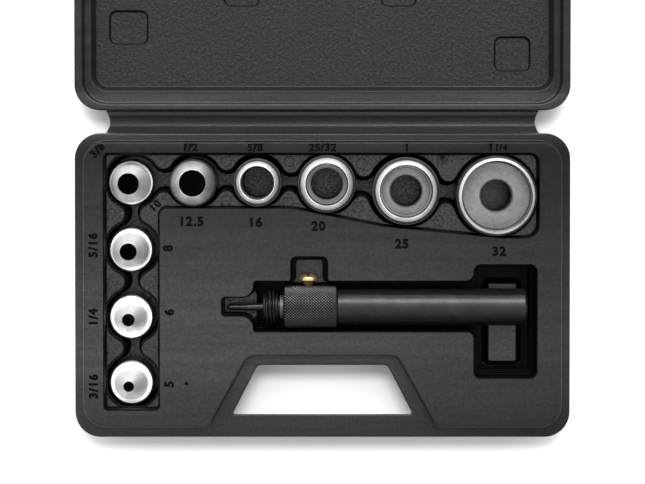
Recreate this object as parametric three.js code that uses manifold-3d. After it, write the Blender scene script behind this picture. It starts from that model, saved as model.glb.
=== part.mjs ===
// A hollow-punch kit in its blow-moulded case: nine screw-on punch heads standing in their wells, and the
// mandrel that drives them lying in its pocket. The case lies open and flat. Its two halves are joined by
// a hinge web with two fold lines.
//
// Millimetres. +X runs along the hinge, +Y from the base half to the lid half, +Z up. The origin is under
// the middle of the hinge web, on the plane that the open case rests on.

import * as THREE from 'three';
import { mergeVertices } from 'three/addons/utils/BufferGeometryUtils.js';
import Module from 'manifold-3d';

const wasm = await Module();
wasm.setup();

// ---------------------------------------------------------------- driving dimensions

const GAP = 0.3; // between pieces that touch
const SKIN = 1.2; // thickness of an inner skin
const SHELL = 1.3; // thickness of an outer shell

const CASE = { halfWidth: 116.5, near: 5.4, far: 148.6, corner: 12 };
const PARTING_Z = 24.5; // where the two halves meet when the case is shut
const FLANGE_TOP = PARTING_Z - GAP / 2;
const FLANGE_BOTTOM = FLANGE_TOP - SKIN;
const SHELL_TOP = FLANGE_BOTTOM - GAP;
const SHELL_DRAFT = { foot: 3.2, footHeight: 4, side: 0.8 };
const PAST = 1; // how far a cutting solid reaches past the face it cuts

const HINGE = { fold: 4.6, halfLength: 102, thickness: 1.0, clear: 0.3, corner: 0.5 };
const HINGE_Z = PARTING_Z - HINGE.fold; // places the shut lid exactly over the base

const PLATEAU = { halfWidth: 112, near: 9.2, far: 143.1, corner: 10.5, top: 30.5, edge: 0.7 };
const LID_CLEARANCE = 0.7; // from the plateau's side to the lid rim around it
const LID = { bandTop: 18, panelTop: 11, panelInset: 3.6, panelNear: 14.9 };

// Shallow square dimples where the lid's two skins are tacked together: middle and size.
const TACK = { depth: 1.4, corner: 3.3 };
const TACKS = [
  { at: [-92.2, 44.7], size: [18.1, 15.8] },
  { at: [-38.4, 63], size: [16.6, 16.2] },
  { at: [36.3, 63], size: [16.6, 16.2] },
  { at: [90.3, 32.1], size: [16.8, 16.2] },
  { at: [-90, 112], size: [16.8, 16.2] },
  { at: [90, 104], size: [16.8, 16.2] },
];

// The carrying handle: an opening in each half, in a flat frame at flange level.
const HANDLE = { near: 114.6, far: 137.7, nearHalf: 30.5, farHalf: 42.4, nearCorner: 3.3, farCorner: 0.6 };
const HANDLE_FRAME = { near: 109.6, nearHalf: 35, farHalf: 53.5, nearRound: 6, farRound: 5 };
const HANDLE_BAR = { bottom: 8, near: 136.7, far: 153.6, nearHalf: 47, farHalf: 51, corner: 0.5 };

// The recess that the punch heads stand in.
const RECESS = {
  left: -102, right: 100.9, columnRight: -76.6, near: 14.9, rowFar: 40, columnFar: 134.6,
  sharpCorner: 1.2, innerCorner: 3.7, rightCorner: 3,
};
const RECESS_WAVE = [[-14, -40, 40], [28, -48.4, 60], [84, -53.9, 30]]; // corners where the row widens
const ISLAND_Z = 25.5;
const WELL_FLOOR = 12;
const WELL_FILLET = 5;

// The punch heads. One that cuts no more than slimCut narrows in a tall cone, and the others in a low bevel.
const HEAD = { height: 24, slimCut: 10, land: 0.15, footChamfer: 0.5, shoulderChamfer: 0.9 };
const CONE = { foot: 9.7, smallest: 7, spread: 3.4, relief: 0.25 };
const BEVEL = { lowest: 3.2, slope: 0.9, inset: 0.8, relief: 0.2, cavity: 5.8 };
const SOCKET = { radius: 7.25, depth: 9.5, chamfer: 0.8, taper: 2.4 };

// Cut diameter, body diameter, where the head stands, and the middle and radius of its well.
const HEADS = [
  { cut: 5, body: 21.8, at: [-90.1, -123.0], well: [-89.3, -122.0, 12.6] },
  { cut: 6, body: 21.8, at: [-90.2, -92.0], well: [-89.3, -91.0, 12.6] },
  { cut: 8, body: 21.8, at: [-90.2, -60.3], well: [-89.3, -59.3, 12.6] },
  { cut: 10, body: 21.8, at: [-90.1, -28.7], well: [-89.3, -27.6, 12.6] },
  { cut: 12.5, body: 22.2, at: [-60.4, -28.4], well: [-60.0, -27.5, 12.4] },
  { cut: 16, body: 22.6, at: [-30.3, -28.2], well: [-30.3, -27.6, 12.3] },
  { cut: 20, body: 27.0, at: [2.0, -28.9], well: [1.9, -29.0, 14.0] },
  { cut: 25, body: 31.8, at: [39.0, -32.2], well: [38.7, -32.0, 16.9] },
  { cut: 32, body: 37.8, at: [81.1, -34.4], well: [81.1, -34.4, 19.4] },
];

// The mandrel and what it carries, along the axis that runs in +X at TOOL_Y and TOOL_Z.
const TOOL_Y = -87.1;
const TOOL_Z = 24.5;
const MANDREL = {
  back: 95.8, knurlBack: 7.1, front: -18.4, radius: 8.75, knurlRadius: 10, chamfer: 1.2, knurlChamfer: 0.8,
};
const BORE = { radius: 4.3, end: 23, point: 2, mouthRadius: 5.8, mouthEnd: -11 };
const NOSE = { front: -27.8, threadBack: -20.9, radius: 7.9, neck: 5.4, chamfer: 0.3 };
const THREAD = { pitch: 1.5, depth: 0.9, crestFrom: 0.4, crestTo: 0.55 }; // the crest as shares of the pitch
const NOSE_SHANK = { radius: 5.5, back: -11.3, boreRadius: 3.2, boreFront: -22, guideRadius: 2.2 };
const PIN = { tip: -44.8, tipRadius: 1.3, rootRadius: 1.9, guided: 2.8, groove: 1.8, collar: 3.8 };
const PIN_POINT = { flat: 0.9, bluntEnd: 0.35, coneEnd: 1.1, straightFrom: -28.8 };
const PIN_AT = { shoulder: -21.7, grooveFront: -14, grooveBack: -4.9, collarBack: -1.9 };
const SPRING = { mean: 3.25, wire: 0.45, front: -1.55, back: 22.55, turns: 9, stepsPerTurn: 8 };
const SCREW = {
  x: -6.7, head: 4.35, dome: 3.2, headBase: 12.6, neck: 2.3, neckBase: 10.9, shank: 1.6, tip: 2.3, rim: 0.6,
};
const SCREW_SLOT = { width: 1.1, depth: 1.2, length: 13 };

// The pocket that the tool lies in.
const POCKET_OVERLAP = 6; // how far a side pocket reaches into the channel
const CHANNEL = { left: -32, right: 69, near: -74.7, far: -97.9, floor: 14.2, corner: 3 };
const TIP_SLOT = { left: -46.9, near: -82.2, far: -90.5, floor: 20.5, corner: 1.2 };
const SCREW_NOTCH = { left: -14.6, right: 2.1, near: -63.3, floor: 17, corner: 2 };
const THUMB_WELL = { left: 71.1, right: 100, near: -67, far: -119.7, floor: 11, corner: 3 };
const SADDLE = { left: 78.3, right: 92.4, near: -76.5, far: -114.3, foot: 3.2, corner: 0.8, edge: 0.4 };

const COLOURS = {
  plastic: 0x2b2b2d, blackSteel: 0x232325, brightSteel: 0xb9b7b2, spring: 0x8f8f90, brass: 0xb08a45,
};
const ROUND = 24; // sides of a turned piece
const LARGE_ROUND = 28; // sides of a well and of the mandrel
const SMALL_ROUND = 16; // sides of the pin and of the screw
const WIRE_STEPS = 3; // a third of the sides of the spring's wire
const DOME_STEPS = 5; // facets from the rim to the crown of the screw
const CORNER_STEPS = 2; // half the sides of a rounded corner
const WAIST_STEPS = 4; // sides of each side of a waist between wells

// ---------------------------------------------------------------- solids

/** A closed geometry as a solid that can be joined and cut. */
function solidOf(geometry) {
  const bare = geometry.clone();
  for (const name of Object.keys(bare.attributes)) {
    if (name !== 'position') bare.deleteAttribute(name);
  }
  const merged = mergeVertices(bare, 1e-4);
  return new wasm.Manifold(new wasm.Mesh({
    numProp: 3,
    vertProperties: new Float32Array(merged.attributes.position.array),
    triVerts: new Uint32Array(merged.index.array),
  }));
}

function geometryOf(solid) {
  const mesh = solid.getMesh();
  const geometry = new THREE.BufferGeometry();
  geometry.setAttribute('position', new THREE.BufferAttribute(new Float32Array(mesh.vertProperties), 3));
  geometry.setIndex(new THREE.BufferAttribute(new Uint32Array(mesh.triVerts), 1));
  geometry.computeVertexNormals();
  return geometry;
}

function join(...solids) {
  return solids.reduce((sum, solid) => sum.add(solid));
}

function prism(shape, bottom, top) {
  const settings = { depth: top - bottom, bevelEnabled: false, curveSegments: CORNER_STEPS };
  return solidOf(new THREE.ExtrudeGeometry(shape, settings).translate(0, 0, bottom));
}

function cylinder([x, y], radius, bottom, top, sides = ROUND) {
  const geometry = new THREE.CylinderGeometry(radius, radius, top - bottom, sides);
  return solidOf(geometry.rotateX(Math.PI / 2).translate(x, y, (bottom + top) / 2));
}

/** A closed solid through outlines of equal length, one above the other: [[points, z], ...]. */
function stack(layers) {
  const count = layers[0][0].length;
  const positions = layers.flatMap(([points, z]) => points.flatMap((p) => [p.x, p.y, z]));
  const index = [];
  for (let layer = 0; layer + 1 < layers.length; layer += 1) {
    for (let i = 0; i < count; i += 1) {
      const a = layer * count + i;
      const b = layer * count + ((i + 1) % count);
      index.push(a, b, b + count, a, b + count, a + count);
    }
  }
  const top = (layers.length - 1) * count;
  for (const [a, b, c] of THREE.ShapeUtils.triangulateShape(layers[0][0], [])) index.push(a, c, b);
  for (const [a, b, c] of THREE.ShapeUtils.triangulateShape(layers.at(-1)[0], [])) {
    index.push(top + a, top + b, top + c);
  }
  const geometry = new THREE.BufferGeometry();
  geometry.setAttribute('position', new THREE.Float32BufferAttribute(positions, 3));
  geometry.setIndex(index);
  return solidOf(geometry);
}

// ---------------------------------------------------------------- outlines

// An outline is a list of corners [x, y, radius], counter-clockwise.

/** The same outline with every side moved inwards, or outwards where inset is negative. */
function offset(corners, inset) {
  return corners.map((corner, i) => {
    const at = new THREE.Vector2(corner[0], corner[1]);
    const before = corners.at(i - 1);
    const after = corners[(i + 1) % corners.length];
    const way = at.clone().sub(new THREE.Vector2(before[0], before[1])).normalize();
    const next = new THREE.Vector2(after[0], after[1]).sub(at).normalize();
    const turn = way.cross(next);
    const shift = way.clone().multiplyScalar(-1).add(next).multiplyScalar(inset / turn);
    const radius = turn > 0 ? corner[2] - inset : corner[2] + inset;
    return [at.x + shift.x, at.y + shift.y, Math.max(radius, 0.3)];
  });
}

/** The outline on the lid half that lies over the same outline on the base half when the case is shut. */
function onLid(corners) {
  return corners.map(([x, y, radius]) => [-x, -y, radius]);
}

function shapeOf(corners) {
  const shape = new THREE.Shape();
  corners.forEach((corner, i) => {
    const at = new THREE.Vector2(corner[0], corner[1]);
    const before = corners.at(i - 1);
    const after = corners[(i + 1) % corners.length];
    const back = new THREE.Vector2(before[0], before[1]).sub(at).normalize();
    const next = new THREE.Vector2(after[0], after[1]).sub(at).normalize();
    const half = Math.acos(THREE.MathUtils.clamp(back.dot(next), -1, 1)) / 2;
    const middle = back.clone().add(next).normalize().multiplyScalar(corner[2] / Math.sin(half)).add(at);
    const start = back.multiplyScalar(corner[2] / Math.tan(half)).add(at).sub(middle);
    const end = next.multiplyScalar(corner[2] / Math.tan(half)).add(at).sub(middle);
    const clockwise = start.cross(end) < 0;
    shape.absarc(middle.x, middle.y, corner[2], start.angle(), end.angle(), clockwise);
  });
  return shape;
}

function pointsOf(corners) {
  const points = shapeOf(corners).getPoints(CORNER_STEPS);
  if (points[0].distanceTo(points.at(-1)) < 1e-6) points.pop();
  return points;
}

function rectangle(left, right, low, high, radius) {
  return [[left, low, radius], [right, low, radius], [right, high, radius], [left, high, radius]];
}

const caseOutline = rectangle(-CASE.halfWidth, CASE.halfWidth, -CASE.far, -CASE.near, CASE.corner);

/** The plateau's outline, which turns in around the handle frame. */
const plateauOutline = [
  [-PLATEAU.halfWidth, -PLATEAU.far, PLATEAU.corner],
  [-HANDLE_FRAME.farHalf, -PLATEAU.far, HANDLE_FRAME.farRound],
  [-HANDLE_FRAME.nearHalf, -HANDLE_FRAME.near, HANDLE_FRAME.nearRound],
  [HANDLE_FRAME.nearHalf, -HANDLE_FRAME.near, HANDLE_FRAME.nearRound],
  [HANDLE_FRAME.farHalf, -PLATEAU.far, HANDLE_FRAME.farRound],
  [PLATEAU.halfWidth, -PLATEAU.far, PLATEAU.corner],
  [PLATEAU.halfWidth, -PLATEAU.near, PLATEAU.corner],
  [-PLATEAU.halfWidth, -PLATEAU.near, PLATEAU.corner],
];

const handleOutline = [
  [-HANDLE.farHalf, -HANDLE.far, HANDLE.farCorner],
  [HANDLE.farHalf, -HANDLE.far, HANDLE.farCorner],
  [HANDLE.nearHalf, -HANDLE.near, HANDLE.nearCorner],
  [-HANDLE.nearHalf, -HANDLE.near, HANDLE.nearCorner],
];

/** The recess for the heads: a column on the left and a row that widens to the right. */
const recessOutline = [
  [RECESS.left, -RECESS.columnFar, RECESS.sharpCorner],
  [RECESS.columnRight, -RECESS.columnFar, RECESS.sharpCorner],
  [RECESS.columnRight, -RECESS.rowFar, RECESS.innerCorner],
  ...RECESS_WAVE,
  [RECESS.right, RECESS_WAVE.at(-1)[1], RECESS.rightCorner],
  [RECESS.right, -RECESS.near, RECESS.rightCorner],
  [RECESS.left, -RECESS.near, RECESS.sharpCorner],
];

/** The underside of the handle bar, where the outer shell is raised. */
const barOutline = [
  [-HANDLE_BAR.farHalf, -HANDLE_BAR.far, HANDLE_BAR.corner],
  [HANDLE_BAR.farHalf, -HANDLE_BAR.far, HANDLE_BAR.corner],
  [HANDLE_BAR.nearHalf, -HANDLE_BAR.near, HANDLE_BAR.corner],
  [-HANDLE_BAR.nearHalf, -HANDLE_BAR.near, HANDLE_BAR.corner],
];

const channelOutline = rectangle(
  CHANNEL.left, CHANNEL.right + POCKET_OVERLAP, CHANNEL.far, CHANNEL.near, CHANNEL.corner,
);
const tipSlotOutline = rectangle(
  TIP_SLOT.left, CHANNEL.left + POCKET_OVERLAP, TIP_SLOT.far, TIP_SLOT.near, TIP_SLOT.corner,
);
const notchOutline = rectangle(
  SCREW_NOTCH.left, SCREW_NOTCH.right, CHANNEL.near - POCKET_OVERLAP, SCREW_NOTCH.near, SCREW_NOTCH.corner,
);
const thumbOutline = rectangle(
  THUMB_WELL.left, THUMB_WELL.right, THUMB_WELL.far, THUMB_WELL.near, THUMB_WELL.corner,
);

// ---------------------------------------------------------------- the case

/** Half of the case's outer shell: a tray with draft, the handle's opening and a slimmer handle bar. */
function outerShell(place) {
  const outline = (inset) => pointsOf(place(offset(caseOutline, inset)));
  const { foot, footHeight, side } = SHELL_DRAFT;
  const outside = stack([[outline(foot), 0], [outline(side), footHeight], [outline(0), SHELL_TOP]]);
  const inside = stack([
    [outline(foot + SHELL), SHELL],
    [outline(side + SHELL), footHeight + SHELL],
    [outline(SHELL), SHELL_TOP + PAST],
  ]);
  const column = (corners, top) => prism(shapeOf(place(corners)), -PAST, top);
  const walls = join(
    column(offset(handleOutline, -SHELL), SHELL_TOP + PAST),
    column(offset(barOutline, -SHELL), HANDLE_BAR.bottom + SHELL),
  );
  const shell = outside.subtract(inside.subtract(walls));
  const opened = shell.subtract(column(handleOutline, SHELL_TOP + PAST));
  return opened.subtract(column(barOutline, HANDLE_BAR.bottom));
}

/** One side of the waist between two wells, as points on an arc that meets both circles smoothly. */
function waistSide([x1, y1, r1], [x2, y2, r2], fillet, side) {
  const a = new THREE.Vector2(x1, y1);
  const b = new THREE.Vector2(x2, y2);
  const along = b.clone().sub(a);
  const distance = along.length();
  along.normalize();
  const across = new THREE.Vector2(-along.y, along.x).multiplyScalar(side);
  const reach1 = r1 + fillet;
  const reach2 = r2 + fillet;
  const step = (distance ** 2 + reach1 ** 2 - reach2 ** 2) / (2 * distance);
  const rise = Math.sqrt(reach1 ** 2 - step ** 2);
  const middle = a.clone().addScaledVector(along, step).addScaledVector(across, rise);
  const start = a.clone().sub(middle).angle();
  let sweep = b.clone().sub(middle).angle() - start;
  if (sweep > Math.PI) sweep -= 2 * Math.PI;
  if (sweep < -Math.PI) sweep += 2 * Math.PI;
  return Array.from({ length: WAIST_STEPS + 1 }, (_, i) => {
    const angle = start + (sweep * i) / WAIST_STEPS;
    return new THREE.Vector2(middle.x + fillet * Math.cos(angle), middle.y + fillet * Math.sin(angle));
  });
}

function waist(first, second, fillet, bottom, top) {
  const points = [
    new THREE.Vector2(first[0], first[1]),
    ...waistSide(first, second, fillet, -1),
    new THREE.Vector2(second[0], second[1]),
    ...waistSide(first, second, fillet, 1).reverse(),
  ];
  return prism(new THREE.Shape(points), bottom, top);
}

/** The wells and the waists that join them, all sides moved out by grow. */
function wells(grow, bottom, top) {
  const circles = HEADS.map(({ well: [x, y, radius] }) => [x, y, radius + grow]);
  const rounds = circles.map(([x, y, radius]) => cylinder([x, y], radius, bottom, top, LARGE_ROUND));
  const fillet = WELL_FILLET - grow;
  const waists = circles.slice(1).map((circle, i) => waist(circles[i], circle, fillet, bottom, top));
  const bound = prism(shapeOf(offset(recessOutline, -grow)), bottom - PAST, top + PAST);
  return join(...rounds, ...waists).intersect(bound);
}

function saddle() {
  const base = rectangle(SADDLE.left, SADDLE.right, SADDLE.far, SADDLE.near, SADDLE.corner);
  const top = TOOL_Z - MANDREL.radius - GAP;
  const bottom = THUMB_WELL.floor - SKIN / 2;
  return stack([
    [pointsOf(offset(base, -SADDLE.foot)), bottom],
    [pointsOf(base), top - SADDLE.edge],
    [pointsOf(offset(base, SADDLE.edge)), top],
  ]);
}

/** The pockets of the base tray. Each is cut down from above, and its skin is grow thicker all round. */
function pockets(grow, top) {
  const hollow = (outline, floor) => prism(shapeOf(offset(outline, -grow)), floor - grow, top);
  return join(
    hollow(recessOutline, ISLAND_Z),
    wells(grow, WELL_FLOOR - grow, top),
    hollow(channelOutline, CHANNEL.floor),
    hollow(tipSlotOutline, TIP_SLOT.floor),
    hollow(notchOutline, SCREW_NOTCH.floor),
    hollow(thumbOutline, THUMB_WELL.floor),
  );
}

function baseTray() {
  const edge = pointsOf(plateauOutline);
  const rounded = pointsOf(offset(plateauOutline, PLATEAU.edge));
  const plateau = stack([[edge, FLANGE_BOTTOM], [edge, PLATEAU.top - PLATEAU.edge], [rounded, PLATEAU.top]]);
  const flange = prism(shapeOf(caseOutline), FLANGE_BOTTOM, FLANGE_TOP);
  const handle = prism(shapeOf(handleOutline), 0, PLATEAU.top);
  const skins = pockets(SKIN, PLATEAU.top);
  const under = prism(shapeOf(offset(plateauOutline, SKIN)), 0, PLATEAU.top - SKIN).subtract(skins);
  const cut = pockets(0, PLATEAU.top + PAST).subtract(saddle());
  return join(plateau, flange, skins).subtract(under).subtract(cut).subtract(handle);
}

function lidPanel() {
  const band = onLid(offset(plateauOutline, -LID_CLEARANCE));
  const panel = onLid(offset(plateauOutline, LID.panelInset - LID_CLEARANCE)).map(([x, y, radius]) => (
    [x, Math.max(y, LID.panelNear), radius]
  ));
  const tacks = (grow, bottom, top) => join(...TACKS.map(({ at: [x, y], size: [width, depth] }) => {
    const outline = rectangle(x - width / 2, x + width / 2, y - depth / 2, y + depth / 2, TACK.corner);
    return prism(shapeOf(offset(outline, -grow)), bottom, top);
  }));
  const floor = LID.panelTop - TACK.depth;
  const above = FLANGE_TOP + PAST;
  const skins = join(
    prism(shapeOf(onLid(caseOutline)), FLANGE_BOTTOM, FLANGE_TOP),
    prism(shapeOf(offset(band, -SKIN)), LID.bandTop - SKIN, FLANGE_TOP),
    prism(shapeOf(offset(panel, -SKIN)), LID.panelTop - SKIN, FLANGE_TOP),
    tacks(SKIN, floor - SKIN, LID.bandTop),
  );
  const cavity = join(
    prism(shapeOf(band), LID.bandTop, above),
    prism(shapeOf(panel), LID.panelTop, above),
    tacks(0, floor, LID.bandTop),
  );
  return skins.subtract(cavity).subtract(prism(shapeOf(onLid(handleOutline)), 0, above));
}

function hingeWeb() {
  const reach = HINGE.fold - HINGE.clear;
  const half = HINGE.thickness / 2;
  const outline = rectangle(-HINGE.halfLength, HINGE.halfLength, -reach, reach, HINGE.corner);
  return prism(shapeOf(outline), HINGE_Z - half, HINGE_Z + half);
}

// ---------------------------------------------------------------- the punch heads

/** Section of a head as [radius, height], from the foot of its socket round to the foot again. */
function headSection({ cut, body }) {
  const edge = cut / 2;
  const outer = body / 2;
  const slim = cut <= HEAD.slimCut;
  const shoulder = slim ? CONE.foot : HEAD.height - Math.max(BEVEL.lowest, (outer - edge) * BEVEL.slope);
  const coneFoot = slim ? Math.max(CONE.smallest, edge + CONE.spread) : outer - BEVEL.inset;
  const outside = [
    [outer - HEAD.footChamfer, 0],
    [outer, HEAD.footChamfer],
    [outer, shoulder - HEAD.shoulderChamfer],
    [outer - HEAD.shoulderChamfer, shoulder],
    [coneFoot, shoulder],
    [edge + HEAD.land, HEAD.height],
    [edge, HEAD.height],
  ];
  const cavityFloor = HEAD.height - BEVEL.cavity;
  const inside = edge > SOCKET.radius
    ? [[edge + BEVEL.relief, cavityFloor], [SOCKET.radius, cavityFloor]]
    : [[edge + CONE.relief, SOCKET.depth + SOCKET.taper], [SOCKET.radius, SOCKET.depth]];
  const foot = [[SOCKET.radius, SOCKET.chamfer], [SOCKET.radius + SOCKET.chamfer, 0]];
  return [...outside, ...inside, ...foot];
}

/** A lathe ring about +Z: the section closes on itself. */
function ring(section, sides = ROUND) {
  const points = [...section, section[0]].map(([radius, height]) => new THREE.Vector2(radius, height));
  return new THREE.LatheGeometry(points, sides).rotateX(Math.PI / 2);
}

// ---------------------------------------------------------------- the mandrel

/** A turned piece about +X: the section is [x, radius] and closes on itself or on the axis. */
function turned(section, sides = ROUND) {
  const points = section.map(([x, radius]) => new THREE.Vector2(radius, x));
  return new THREE.LatheGeometry(points, sides).rotateZ(-Math.PI / 2);
}

function mandrelBody() {
  const { back, knurlBack, front, radius, knurlRadius, chamfer, knurlChamfer } = MANDREL;
  const body = solidOf(turned([
    [BORE.end + BORE.point, 0],
    [BORE.end, BORE.radius],
    [BORE.mouthEnd, BORE.radius],
    [BORE.mouthEnd, BORE.mouthRadius],
    [front, BORE.mouthRadius],
    [front, knurlRadius - knurlChamfer],
    [front + knurlChamfer, knurlRadius],
    [knurlBack - knurlChamfer, knurlRadius],
    [knurlBack, radius],
    [back - chamfer, radius],
    [back, radius - chamfer],
    [back, 0],
  ], LARGE_ROUND));
  const across = SCREW.shank + GAP;
  const hole = new THREE.CylinderGeometry(across, across, 2 * knurlRadius, SMALL_ROUND);
  return geometryOf(body.subtract(solidOf(hole.translate(SCREW.x, knurlRadius, 0))));
}

/** The screw-in nose: its outer thread takes a punch head, and its bore guides the pin. */
function threadedNose() {
  const { front, threadBack, radius, neck, chamfer } = NOSE;
  const { pitch, depth, crestFrom, crestTo } = THREAD;
  const crests = Math.floor((threadBack - front) / pitch);
  const thread = Array.from({ length: crests }, (_, i) => {
    const start = front + chamfer + i * pitch;
    return [[start, radius - depth], [start + pitch * crestFrom, radius], [start + pitch * crestTo, radius]];
  }).flat();
  return turned([
    [front, NOSE_SHANK.guideRadius],
    [front, radius - depth - chamfer],
    ...thread,
    [threadBack, radius - depth],
    [threadBack, neck],
    [MANDREL.front, neck],
    [MANDREL.front, NOSE_SHANK.radius],
    [NOSE_SHANK.back, NOSE_SHANK.radius],
    [NOSE_SHANK.back, NOSE_SHANK.boreRadius],
    [NOSE_SHANK.boreFront, NOSE_SHANK.boreRadius],
    [NOSE_SHANK.boreFront, NOSE_SHANK.guideRadius],
    [front, NOSE_SHANK.guideRadius],
  ]);
}

function centrePin() {
  return turned([
    [PIN.tip, 0],
    [PIN.tip + PIN_POINT.bluntEnd, PIN_POINT.flat],
    [PIN.tip + PIN_POINT.coneEnd, PIN.tipRadius],
    [PIN_POINT.straightFrom, PIN.rootRadius],
    [PIN_AT.shoulder, PIN.rootRadius],
    [PIN_AT.shoulder, PIN.guided],
    [PIN_AT.grooveFront, PIN.guided],
    [PIN_AT.grooveFront, PIN.groove],
    [PIN_AT.grooveBack, PIN.groove],
    [PIN_AT.grooveBack, PIN.collar],
    [PIN_AT.collarBack, PIN.collar],
    [PIN_AT.collarBack, 0],
  ], SMALL_ROUND);
}

class Helix extends THREE.Curve {
  getPoint(t, target = new THREE.Vector3()) {
    const angle = t * SPRING.turns * 2 * Math.PI;
    const start = SPRING.front + SPRING.wire;
    const length = SPRING.back - SPRING.front - 2 * SPRING.wire;
    return target.set(start + length * t, SPRING.mean * Math.cos(angle), SPRING.mean * Math.sin(angle));
  }
}

function pinSpring() {
  const wire = new THREE.Shape();
  wire.absarc(0, 0, SPRING.wire, 0, 2 * Math.PI);
  const steps = SPRING.turns * SPRING.stepsPerTurn;
  const settings = { steps, extrudePath: new Helix(), curveSegments: WIRE_STEPS };
  return new THREE.ExtrudeGeometry(wire, settings);
}

/** The slotted round-head screw, about +Y, with its tip in the pin's groove. */
function brassScrew() {
  const { head, dome, headBase, neck, neckBase, shank, tip, rim } = SCREW;
  const crown = Array.from({ length: DOME_STEPS }, (_, i) => {
    const angle = (i / DOME_STEPS) * (Math.PI / 2);
    return new THREE.Vector2(head * Math.cos(angle), headBase + rim + (dome - rim) * Math.sin(angle));
  });
  const points = [
    new THREE.Vector2(0, tip),
    new THREE.Vector2(shank, tip),
    new THREE.Vector2(shank, neckBase),
    new THREE.Vector2(neck, neckBase),
    new THREE.Vector2(neck, headBase),
    new THREE.Vector2(head, headBase),
    ...crown,
    new THREE.Vector2(0, headBase + dome),
  ];
  const slot = new THREE.BoxGeometry(SCREW_SLOT.width, 2 * SCREW_SLOT.depth, SCREW_SLOT.length);
  const cut = solidOf(slot.translate(0, headBase + dome, 0));
  return geometryOf(solidOf(new THREE.LatheGeometry(points, SMALL_ROUND)).subtract(cut));
}

// ---------------------------------------------------------------- the assembly

function finish(colour, roughness, metalness) {
  return new THREE.MeshStandardMaterial({ color: colour, roughness, metalness });
}

const plastic = () => finish(COLOURS.plastic, 0.55, 0);
const blackSteel = () => finish(COLOURS.blackSteel, 0.4, 0.8);

function named(name, geometry, material) {
  const mesh = new THREE.Mesh(geometry, material);
  mesh.name = name;
  return mesh;
}

const base = new THREE.Group();
base.add(
  named('base_outer_shell', geometryOf(outerShell((corners) => corners)), plastic()),
  named('base_tray', geometryOf(baseTray()), plastic()),
);

const lid = new THREE.Group();
lid.add(
  named('lid_outer_shell', geometryOf(outerShell(onLid)), plastic()),
  named('lid_inner_panel', geometryOf(lidPanel()), plastic()),
);

const heads = new THREE.Group();
for (const head of HEADS) {
  const name = `punch_head_${String(head.cut).replace('.', '_')}mm`;
  const mesh = named(name, ring(headSection(head)), finish(COLOURS.brightSteel, 0.35, 0.9));
  mesh.position.set(head.at[0], head.at[1], WELL_FLOOR + GAP);
  heads.add(mesh);
}

const tool = new THREE.Group();
tool.position.set(0, TOOL_Y, TOOL_Z);
const screw = named('brass_screw', brassScrew(), finish(COLOURS.brass, 0.3, 0.9));
screw.position.x = SCREW.x;
tool.add(
  named('mandrel_body', mandrelBody(), blackSteel()),
  named('threaded_nose', threadedNose(), blackSteel()),
  named('centre_pin', centrePin(), blackSteel()),
  named('pin_spring', pinSpring(), finish(COLOURS.spring, 0.35, 0.9)),
  screw,
);

const kit = new THREE.Group();
kit.add(base, lid, named('hinge_web', geometryOf(hingeWeb()), plastic()), heads, tool);

export default kit;
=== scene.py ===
"""A hollow-punch kit in its open moulded case, seen from straight above the hinge, on a white table.

Lengths in the shape code are millimetres in the row frame: +X along the hinge, +Y from the base half to
the lid half, +Z up from the table. Skin.build() turns them into metres.
"""

import math

import bmesh
import bpy
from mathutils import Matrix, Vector
from mathutils.geometry import delaunay_2d_cdt


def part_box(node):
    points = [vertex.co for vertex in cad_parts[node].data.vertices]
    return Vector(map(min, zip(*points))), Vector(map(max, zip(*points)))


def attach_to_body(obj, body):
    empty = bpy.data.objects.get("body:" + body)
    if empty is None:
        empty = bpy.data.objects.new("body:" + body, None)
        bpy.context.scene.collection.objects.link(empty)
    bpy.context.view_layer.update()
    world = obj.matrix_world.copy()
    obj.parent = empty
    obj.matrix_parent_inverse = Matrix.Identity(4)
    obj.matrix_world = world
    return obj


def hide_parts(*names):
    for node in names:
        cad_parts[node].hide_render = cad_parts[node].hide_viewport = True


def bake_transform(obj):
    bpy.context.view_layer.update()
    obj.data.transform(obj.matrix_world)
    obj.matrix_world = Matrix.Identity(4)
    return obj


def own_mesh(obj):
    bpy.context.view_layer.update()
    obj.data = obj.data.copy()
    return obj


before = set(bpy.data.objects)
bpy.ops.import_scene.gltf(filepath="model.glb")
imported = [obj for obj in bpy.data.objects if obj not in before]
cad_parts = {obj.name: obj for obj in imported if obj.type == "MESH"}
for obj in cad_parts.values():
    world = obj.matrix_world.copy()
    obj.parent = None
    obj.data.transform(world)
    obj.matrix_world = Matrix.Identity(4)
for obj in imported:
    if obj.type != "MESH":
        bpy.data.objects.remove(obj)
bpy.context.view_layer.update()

MM = 0.001
WELD = 0.004 * MM

# ------------------------------------------------------------------ sizes of the case

CASE = {"half_width": 116.5, "near": 5.4, "far": 148.6, "corner": 12.0}
FLANGE_TOP = 24.35
FLANGE_EDGE = 23.1
SHELL_TOP = 22.95
SHELL_FOOT = 3.2
SHELL_FOOT_HEIGHT = 4.0
SHELL_SIDE = 0.8
PLATEAU_TOP = 30.5
ISLAND_TOP = 25.5
WELL_FLOOR = 12.0
WAIST_RADIUS = 5.0
SKIN_THICKNESS = 1.0
BAR_BOTTOM = 8.0
LID_BAND = 18.0
LID_PANEL = 11.0
TACK_FLOOR = LID_PANEL - 1.4

PLATEAU = {"half_width": 112.0, "near": 9.2, "far": 143.1, "corner": 10.5}
HANDLE_FRAME = {"near": 109.6, "near_half": 35.0, "far_half": 53.5}
HANDLE = {"near": 114.6, "far": 137.7, "near_half": 30.5, "far_half": 42.4}

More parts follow.
